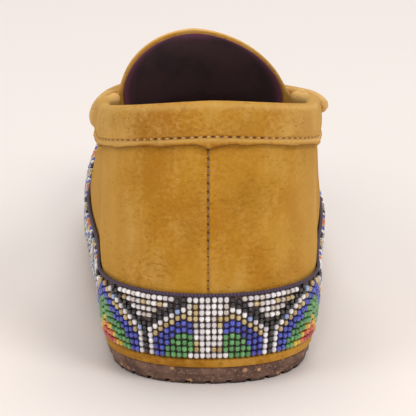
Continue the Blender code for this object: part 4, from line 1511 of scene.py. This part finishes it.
        # Painted shade: the stitches across the back are dark as the shade in their holes
        lay_thread("cuff_thread_back", back, paint(108, 70, 36), paint(84, 52, 28))
        lay_thread("cuff_thread_side", side, paint(160, 114, 54), paint(140, 96, 44))
        lay_thread("cuff_thread_pale", spots[1::2], paint(220, 178, 106), paint(200, 156, 84))


def tongue_row(rise):
    """The tongue's Y, height and half-width at a rise: -1 at its foot, 0 at its shoulder and 1 at
    its top."""
    half = TONGUE_WIDTH / 2
    shoulder = len(RISES) - 1
    if rise < 0:
        t = (rise + 1) * shoulder
        i = min(int(t), shoulder - 1)
        a, b, t = RISES[i], RISES[i + 1], t - i
        y = place_y(a.along + (b.along - a.along) * t)
        return y, a.height + (b.height - a.height) * t, (a.width + (b.width - a.width) * t) * half
    base_y, base_z = place_y(RISES[-1].along), RISES[-1].height
    top_y, top_z = place_y(TONGUE_TOP.along), TONGUE_TOP.height
    z = base_z + (top_z - base_z) * rise
    dome = max(0.0, 1 - (top_z - z) / TONGUE_DOME)
    y = base_y + (top_y - base_y) * (1 - (1 - rise) ** TONGUE_LEAN)
    return y, z, half * max(0.0, 1 - dome**TONGUE_POINT) ** (1 / TONGUE_ROUND)


ACROSS_STEPS = 22
RISE_STEP = 0.03
SIDE_POWER = 8


def tongue_grid(rises, front, back, inset=0.0, shape=None):
    """Rows of points round a sheet of the tongue between two depths through it.

    The lining gives an inset and the rises whose widths it takes; the suede has rounded sides and
    wings that reach under the collar.
    """
    centre = smooth(PLANS, THROAT_POINT, "centre") * BALL_WIDTH
    across = [math.sin(math.pi / 2 * u) for u in span(-1, 1, ACROSS_STEPS)]
    rows = []
    is_suede = shape is None
    for rise, shape_rise in zip(rises, shape or rises):
        y, z, _ = tongue_row(rise)
        half = tongue_row(shape_rise)[2]
        before = tongue_row(max(-1.0, rise - RISE_STEP))
        after = tongue_row(min(1.0, rise + RISE_STEP))
        run = Vector((0, after[0] - before[0], after[1] - before[1])).normalized()
        inward = Vector((0, -run.z, run.y))
        stand = max(0.0, z - RISES[0].height) / (TONGUE_TOP.height - RISES[0].height)
        middle = Vector((centre + (TONGUE_SHIFT - centre) * stand**TONGUE_SKEW, y, z))
        wide = half * (1 - inset / (TONGUE_WIDTH / 2))
        if is_suede:
            wide += TONGUE_WING * bell(z - WING_HEIGHT, TONGUE_WING)
        mid = (front + back) / 2
        loop = []
        for side, order in ((front, across), (back, across[::-1])):
            for u in order:
                slim = (1 - abs(u) ** SIDE_POWER) ** 0.5 if is_suede else 1.0
                depth = mid + (side - mid) * slim
                bow = TONGUE_BOW * (u * wide) ** 2
                loop.append(middle + Vector((u * wide, 0, 0)) + inward * (bow + depth))
        rows.append(loop)
    return rows


class MOCCASIN_OT_tongue(bpy.types.Operator):
    """The tongue: suede with a rolled rim, and its lining"""

    bl_idname = "moccasin.tongue"
    bl_label = "Build the tongue"
    low_steps = 10
    high_steps = 26
    suede_back = 0.00085
    lining_front = 0.00090
    lining_foot = 3
    # Painted light: a highlight rim_width wide on the lining's rim, and light up to edge_light on the
    # suede's rim
    rim_width = 0.0017
    edge_width = 0.0012
    edge_light = 1.7

    def execute(self, context):
        leather, colours = context.scene.moccasin_leather, context.scene.moccasin_colours
        low = span(-1.0, 0.0, self.low_steps)[:-1]
        high = [math.sin(math.pi / 2 * share) for share in span(0.0, 1.0, self.high_steps)]
        half = TONGUE_THICKNESS / 2
        rows = tongue_grid(low + high, -half, self.suede_back)
        marks = self.rim_marks(rows, self.edge_width, self.edge_light)
        mesh = swept("tongue_suede", rows, ring=False, marks=marks)
        finish = suede("suede_tongue", colours, "tongue")
        make_object("tongue_suede", mesh, finish, ["tongue"])
        limit = 1 - leather.tongue_rim / (TONGUE_TOP.height - RISES[-1].height)
        low = low[self.lining_foot :]
        rises = low + [limit * rise for rise in high]
        rows = tongue_grid(rises, self.lining_front, half, leather.tongue_rim, low + high)
        marks = self.rim_marks(rows, self.rim_width, 1.0)
        mesh = swept("tongue_lining", rows, ring=False, marks=marks)
        make_object("tongue_lining", mesh, lining_finish("tongue_lining", colours))
        return {"FINISHED"}

    def rim_marks(self, rows, width, most):
        """A sheet's marks of painted light: most at its side and top rims, falling to 0 a little way
        in.
        """
        top = rows[-1][0].z
        marks = []
        for row in rows:
            left, right = row[0].x, row[len(row) // 2 - 1].x
            from_rim = [min(place.x - left, right - place.x, top - place.z) for place in row]
            marks.append([most * bell(distance, width) for distance in from_rim])
        return marks


class MOCCASIN_OT_apron(bpy.types.Operator):
    """The apron on the vamp with its rolled seam"""

    bl_idname = "moccasin.apron"
    bl_label = "Build the apron"
    seam_steps = 8
    plug_steps = 12
    edge_thin = 0.35
    edge_run = 0.25
    roll_power = 0.7
    pucker = 0.00016
    pucker_pitch = 0.0032
    thread_lift = 0.00005
    thread_start = 2
    stitch_pitch = 0.0030
    stitch_length = 0.0018
    stitch_swell = 1.5

    def execute(self, context):
        point = turn_of(THROAT_POINT)
        turns = [turn for turn in fine_turns() if turn <= point + SAME]
        rows, ridge = [], []
        run = 0.0
        for turn in turns[::-1] + [1 - turn for turn in turns[1:]]:
            s = around(turn)
            edge = apron_v(s)
            seam = v_at_radius(s, max(0.0, wall_point(s, edge)[0] - APRON_SEAM_WIDTH))
            levels = span(seam, 1.0, self.plug_steps)
            over = self.rolled(s, edge, seam, run)
            over += [wall_point(s, v, GAP + APRON_THICKNESS) for v in levels[1:]]
            under = [wall_point(s, v, GAP) for v in [*levels[::-1], edge]]
            rows.append([in_space(s, point) for point in under + over])
            place = in_space(s, wall_point(s, seam, GAP + APRON_THICKNESS + self.thread_lift))
            if ridge:
                run += (place - ridge[-1]).length
            ridge.append(place)
        bm = bmesh.new()
        grid = [[bm.verts.new(place) for place in row] for row in rows]
        for here, following in zip(grid, grid[1:]):
            for j in range(len(here) - 1):
                bm.faces.new((here[j], following[j], following[j + 1], here[j + 1]))
        bm.faces.new(grid[0] + grid[-1][-2:0:-1])
        finish = suede("suede_apron", context.scene.moccasin_colours, "upper")
        make_object("apron_suede", finish_mesh(bm, "apron_suede"), finish, ["apron"])
        self.stitches(ridge, context.scene.moccasin_leather)
        return {"FINISHED"}

    def rolled(self, s, edge, seam, run):
        """The seam's puckered roll in a section, from the apron's edge up to its thread."""
        ripple = self.pucker * math.sin(run * 2 * math.pi / self.pucker_pitch)
        roll = []
        for share in span(0.0, 1.0, self.seam_steps):
            arch = math.sin(math.pi * share)
            thick = self.edge_thin + (1 - self.edge_thin) * min(1, share / self.edge_run)
            offset = GAP + APRON_THICKNESS * thick + APRON_SEAM_RISE * arch**self.roll_power
            roll.append(wall_point(s, edge + (seam - edge) * share, offset + ripple * arch))
        return roll

    def stitches(self, ridge, leather):
        places = even_chain(ridge[self.thread_start : -self.thread_start], self.stitch_pitch)
        width = leather.stitch_width * self.stitch_swell
        spots = []
        for a, b in zip(places, places[1:]):
            turn = facing(b - a, Vector((0, 0, 1)))
            spots.append(Spot(a, turn, (self.stitch_length, width, width)))
        lay_thread("apron_thread", spots, paint(120, 80, 44), paint(92, 58, 32))


STRIP_STEPS = 8
STRIP_POWER = 6


def strip_rows(turns, low, high, inner, outer, edge):
    """A strip on the wall between two heights; edge says how much thinner its edges are."""
    rows = []
    for turn in turns:
        s = around(turn)
        levels = [v_at_height(s, z + s.lift) for z in span(low, high, STRIP_STEPS)]
        section = [wall_point(s, v, inner) for v in levels]
        for i in range(STRIP_STEPS, -1, -1):
            full = 1 - edge * (2 * abs(i / STRIP_STEPS - 0.5)) ** STRIP_POWER
            section.append(wall_point(s, levels[i], inner + (outer - inner) * full))
        rows.append([in_space(s, point) for point in section])
    return rows


# The chart. A mountain is MOUNTAIN columns wide; its slope starts PEAK_HALF columns off the peak
# and falls a row in SLOPE_RUN columns. Down from the slope come BLACK_ROWS of black, SMALL_STEP
# rows apart, then the outline to OUTLINE_END, plain white from row PALE_END on, then the bands.
# Beside the valley a bead's depth grows by VALLEY_SLOPE a column at most, so that the bands run
# down there, and the valley's own column is black under VALLEY_ROW. At the heel, columns up to
# PANEL off the seam are a panel, and all beads deeper than HEEL_GREEN are green.
MOUNTAIN = 22
PANEL = 3
PEAK_HALF = 4.5
SLOPE_RUN = 1.5
SMALL_STEP = 0.80
BLACK_ROWS = 2
OUTLINE_END = 3
PALE_END = 6
HEEL_GREEN = 6
CROSS_ROWS = (5, 6)
CROSS_COLUMNS = (0, 1)
VALLEY_ROW = 4.2
VALLEY_DEPTH = 1.2
VALLEY_SLOPE = 1.4
Chart = namedtuple("Chart", "depth colour")
BANDS = (
    Chart(4, "gold"), Chart(6, "blue"), Chart(9, "green"), Chart(10, "yellow"),
    Chart(11, "orange"),
)
# The warm core of the hanging triangles, from CORE_START columns off the heel seam forwards
CORE = (Chart(-3.4, "orange"), Chart(-2.4, "yellow"), Chart(-1.3, "blue"))
CORE_START = 1.5 * MOUNTAIN
PANEL_SIDE = ("white", "silver", "silver", "gold", "blue", "blue", "green", "green", "green")
# Mixed beads: a colour is taken where a random number from 0 to 1 is under its share
Mixed = namedtuple("Mixed", "share colour")
PANEL_MIX = (Mixed(0.35, "gold"), Mixed(0.60, "silver"), Mixed(1.0, "white"))
OUTLINE_MIX = (Mixed(0.30, "pale"), Mixed(1.0, "white"))
EVEN_MIX = (Mixed(0.8, "white"), Mixed(1.0, "silver"))
ODD_MIX = (Mixed(0.35, "silver"), Mixed(0.70, "gold"), Mixed(1.0, "white"))


def drawn(mix, chance):
    return next(choice.colour for choice in mix if chance < choice.share)


def from_peak(column):
    """How many columns a column lies off the nearest mountain's peak."""
    half = MOUNTAIN // 2
    return abs((column + half) % MOUNTAIN - half)


def bead_colour(column, row, rows, chance):
    """The chart: stepped mountains in rainbow bands, with triangles hanging between them.

    column counts from the heel seam; the seam's own mountain carries a white panel.
    """
    half = MOUNTAIN // 2
    off_peak = from_peak(column)
    at_heel = abs(column) <= half
    if at_heel and off_peak <= PANEL:
        return panel_colour(column, row, rows, chance)
    if off_peak == half and row > VALLEY_ROW:
        return "black"
    depth = row - slope_start(column)
    if off_peak > PANEL:
        if strung_across(column, row):
            return triangle_colour(column, row, depth, chance)
        if round(depth) < BLACK_ROWS:
            return "black"
    depth = min(round(depth), VALLEY_DEPTH + VALLEY_SLOPE * (half - off_peak))
    if depth < OUTLINE_END:
        return drawn(OUTLINE_MIX, chance) if row < PALE_END else "white"
    if at_heel and depth > HEEL_GREEN:
        return "green"
    return next((band.colour for band in BANDS if depth < band.depth), "red")


def panel_colour(column, row, rows, chance):
    """The panel in the middle of the heel's mountain: pale mixed beads with a plain white cross."""
    row = round(row)
    if row >= rows - 1 or row == 0:
        return "white"
    if abs(column) == PANEL:
        return PANEL_SIDE[row]
    if row in CROSS_ROWS or column in CROSS_COLUMNS:
        return "white"
    return drawn(PANEL_MIX, chance)


def slope_start(column):
    """The row where a column meets the edge of its mountain; the heel's panel has none."""
    if abs(column) <= PANEL:
        return 0.0
    return (from_peak(column) - PEAK_HALF) / SLOPE_RUN


def strung_across(column, row):
    """Whether a bead lies on a thread along the band, as in the hanging triangles."""
    return row < slope_start(column) - SAME


def column_rows(column, count):
    """Places of a column's beads: level in the hanging triangle, then down the slope's own steps.

    The slope's two black beads are small and stand close.
    """
    if abs(column) <= PANEL:
        return [float(row) for row in range(count)]
    start = slope_start(column)
    if -0.5 < start < 0:
        start = 0.0
    level = [float(row) for row in range(count) if row < start - 0.5]
    small = [start + step for step in (0.0, SMALL_STEP) if start + step >= 0]
    first = start + 2 * SMALL_STEP
    if first < 0:
        first %= 1.0
    last = max(1, round(count - 1 - first))
    rest = [first + (count - 1 - first) * step / last for step in range(last + 1)]
    return level + [row for row in small if row < count - 1.5] + rest


def triangle_colour(column, row, depth, chance):
    """The hanging triangles: pale beads behind, and a warm core further forward.

    depth is negative, and counts rows up from the slope.
    """
    if abs(column) > CORE_START:
        for band in CORE:
            if depth < band.depth:
                return band.colour
    return drawn(ODD_MIX if row % 2 else EVEN_MIX, chance)


class MOCCASIN_OT_beadwork(bpy.types.Operator):
    """The rand, the beads with their backing, and the binding above them"""

    bl_idname = "moccasin.beadwork"
    bl_label = "Build the beadwork"
    rand_drop = 0.0001
    rand_edge, backing_edge = 0.45, 0.1
    yarn_sides = 10
    yarn_slant = 0.0005
    route_steps = 1200
    string_reach = 0.001
    black_size = 0.9
    slip = 0.00008
    width_spread, height_spread = (0.95, 1.04), (0.94, 1.05)
    profile = (
        (0.18, -0.44), (0.33, -0.44), (0.45, -0.25), (0.50, 0.0), (0.45, 0.25), (0.33, 0.44),
        (0.18, 0.44),
    )
    bead_sides = 9

    def execute(self, context):
        work, colours = context.scene.moccasin_beadwork, context.scene.moccasin_colours
        turns = fine_turns()
        low = SOLE_THICKNESS - self.rand_drop
        rows = strip_rows(turns, low, RAND_TOP, GAP, GAP + RAND_THICKNESS, self.rand_edge)
        finish = suede("suede_rand", colours, "rand")
        make_object("rand_suede", swept("rand_suede", rows), finish, ["rand"])
        outer = GAP + work.backing
        rows = strip_rows(turns, BAND_BOTTOM, BAND_TOP, GAP, outer, self.backing_edge)
        finish = thread_finish("bead_backing", colours.backing, colours.backing_dark)
        mesh = swept("bead_backing", rows)
        make_object("bead_backing", mesh, finish, ["bead_band"])
        self.binding(turns, colours)
        self.beads(work)
        return {"FINISHED"}

    def binding(self, turns, colours):
        """The yarn along the band's top; its marks are the length along it, a little slanted."""
        rows, marks, total = [], [], 0.0
        for turn in turns:
            s = around(turn)
            v = v_at_height(s, BAND_TOP + BINDING_RADIUS + s.lift)
            r, z = wall_point(s, v, GAP + BINDING_RADIUS)
            section = [
                (r + BINDING_RADIUS * math.cos(a), z + BINDING_RADIUS * math.sin(a))
                for a in ring_angles(self.yarn_sides)
            ]
            row = [in_space(s, point) for point in section]
            if rows:
                total += (row[0] - rows[-1][0]).length
            rows.append(row)
            slants = span(0.0, self.yarn_slant, self.yarn_sides)[:-1]
            marks.append([total + slant for slant in slants])
        mesh = swept("binding_yarn", rows, marks=marks)
        finish = binding_finish(colours)
        make_object("binding_yarn", mesh, finish, ["band_binding"])

    def column_stations(self, work, offset):
        """The section plane of each column of beads, at even steps round the band's middle."""
        turns = span(SEAM_TURN, SEAM_TURN + 1, self.route_steps)
        middle = (BAND_BOTTOM + BAND_TOP) / 2
        chain = []
        for turn in turns:
            s = around(turn)
            v = v_at_height(s, middle + s.lift)
            chain.append(in_space(s, wall_point(s, v, offset)))
        lengths = lengths_along(chain)
        stations, i = [], 0
        for number in range(work.columns):
            length = lengths[-1] * number / work.columns
            while lengths[i + 1] < length:
                i += 1
            share = (length - lengths[i]) / (lengths[i + 1] - lengths[i])
            stations.append(around(turns[i] + (turns[i + 1] - turns[i]) * share))
        return stations

    def beads(self, work):
        """Every bead of the chart, one joined mesh to a colour."""
        offset = GAP + work.backing + work.bead_width / 2
        chooser = random.Random(work.seed)
        spots = {name: [] for name in GLASSES}
        for number, s in enumerate(self.column_stations(work, offset)):
            column = number if number <= work.columns // 2 else number - work.columns
            out = Vector((s.way.x, s.way.y, 0.0))
            for row in column_rows(column, work.rows):
                z = work.top_row - row * work.row_pitch + s.lift
                low, high = (
                    in_space(s, wall_point(s, v_at_height(s, z + step), offset))
                    for step in (-self.string_reach, self.string_reach)
                )
                colour = bead_colour(column, row, work.rows, chooser.random())
                width = work.bead_width * chooser.uniform(*self.width_spread)
                size = (work.bead_height * chooser.uniform(*self.height_spread), width, width)
                if colour == "black":
                    size = tuple(self.black_size * length for length in size)
                string = high - low
                if strung_across(column, row):
                    string = string.cross(out)
                place = (low + high) / 2
                place += Vector([chooser.uniform(-self.slip, self.slip) for _ in range(3)])
                spots[colour].append(Spot(place, facing(string, out), size))
        piece = self.bead()
        for name, chosen in spots.items():
            if chosen:
                finish = glass_finish(name)
                label = "beads_" + name
                mesh = scattered(label, chosen, piece, finish, work.wobble, work.seed)
                make_object(label, mesh, finish)
        bpy.data.objects.remove(piece, do_unlink=True)

    def bead(self):
        """One bead: a short rounded tube along X, one unit long and wide."""
        made = small_piece("bead", self.profile, self.bead_sides)
        made.data.transform(Matrix.Rotation(math.pi / 2, 4, "Y"))
        return made


class MOCCASIN_OT_lace(bpy.types.Operator):
    """The suede lace: bars, knot, two loops and two ends"""

    bl_idname = "moccasin.lace"
    bl_label = "Build the lace"
    thong_half = (LACE_DIAMETER * 0.56, LACE_DIAMETER * 0.50)
    bar_half = (LACE_DIAMETER * 0.44, LACE_DIAMETER * 0.68)
    end_size = 0.8
    nap = 0.0003
    knot_slant = 0.25
    knot_turns = 15
    knot_ridge, knot_waist, waist_width = 0.10, 0.06, 0.05
    knot_fill = Vector((0.98, 0.94, 0.94))

    def execute(self, context):
        finish = suede("suede_lace", context.scene.moccasin_colours, "lace", self.nap)
        mesh = tube("lace_bar_thong", even_route(BAR_ROUTE, ROUTE_SPACING), self.bar_half)
        make_object("lace_bar_thong", mesh, finish, ["lace_bars"])
        knot = self.knot(finish)
        for name, points, end_size, far_end in (
            ("lace_loop_lateral", LOOP_LATERAL, 1.0, "object"),
            ("lace_loop_medial", LOOP_MEDIAL, 1.0, "object"),
            ("lace_end_lateral", END_LATERAL, self.end_size, "bare"),
            ("lace_end_medial", END_MEDIAL, self.end_size, "bare"),
        ):
            route = even_route(points, ROUTE_SPACING)
            mesh = tube(name + "_thong", route, self.thong_half, end_size)
            made = make_object(name + "_thong", mesh, finish, [name])
            sum((b - a).length for a, b in zip(route, route[1:]))
            [knot] if name == "lace_loop_lateral" else []
        return {"FINISHED"}

    def knot(self, finish):
        """Two turns of thong pulled tight over a core."""
        bm = bmesh.new()
        bmesh.ops.create_uvsphere(bm, u_segments=32, v_segments=20, radius=0.5)
        for vert in bm.verts:
            x, y, z = vert.co
            slant = x + self.knot_slant * z
            wrap = 1 + self.knot_ridge * math.cos(slant * self.knot_turns)
            wrap -= self.knot_waist * bell(slant, self.waist_width)
            full = self.knot_fill * Vector((x, y * wrap, z * wrap))
            vert.co = KNOT_PLACE + full * KNOT_SIZE
        mesh = finish_mesh(bm, "lace_knot_thong", ALL_SMOOTH)
        return make_object("lace_knot_thong", mesh, finish, ["lace_knot"])


STEPS = (
    MOCCASIN_OT_stage,
    MOCCASIN_OT_lace,
    MOCCASIN_OT_sole,
    MOCCASIN_OT_upper,
    MOCCASIN_OT_cuff,
    MOCCASIN_OT_tongue,
    MOCCASIN_OT_apron,
    MOCCASIN_OT_beadwork,
)
GROUPS = {
    "moccasin_colours": MoccasinColours,
    "moccasin_leather": MoccasinLeather,
    "moccasin_beadwork": MoccasinBeadwork,
    "moccasin_stage": MoccasinStage,
}


class MOCCASIN_PT_panel(bpy.types.Panel):
    """The moccasin's settings and its build steps"""

    bl_idname = "MOCCASIN_PT_panel"
    bl_label = "Beaded moccasin"
    bl_space_type = "VIEW_3D"
    bl_region_type = "UI"
    bl_category = "Moccasin"

    def draw(self, context):
        for name, group in GROUPS.items():
            box = self.layout.box()
            for setting in group.__annotations__:
                box.prop(getattr(context.scene, name), setting)
        for step in STEPS:
            self.layout.operator(step.bl_idname)


CLASSES = (*GROUPS.values(), *STEPS, MOCCASIN_PT_panel)


def register():
    for made in CLASSES:
        bpy.utils.register_class(made)
    for name, group in GROUPS.items():
        setattr(bpy.types.Scene, name, PointerProperty(type=group))


def unregister():
    for name in GROUPS:
        delattr(bpy.types.Scene, name)
    for made in reversed(CLASSES):
        bpy.utils.unregister_class(made)


def main():
    register()
    for name in ("Cube", "Light", "Camera"):
        if name in bpy.data.objects:
            bpy.data.objects.remove(bpy.data.objects[name], do_unlink=True)
    bpy.ops.moccasin.stage()
    bpy.ops.moccasin.lace()
    bpy.ops.moccasin.sole()
    bpy.ops.moccasin.upper()
    bpy.ops.moccasin.cuff()
    bpy.ops.moccasin.tongue()
    bpy.ops.moccasin.apron()
    bpy.ops.moccasin.beadwork()


if __name__ == "__main__":
    main()
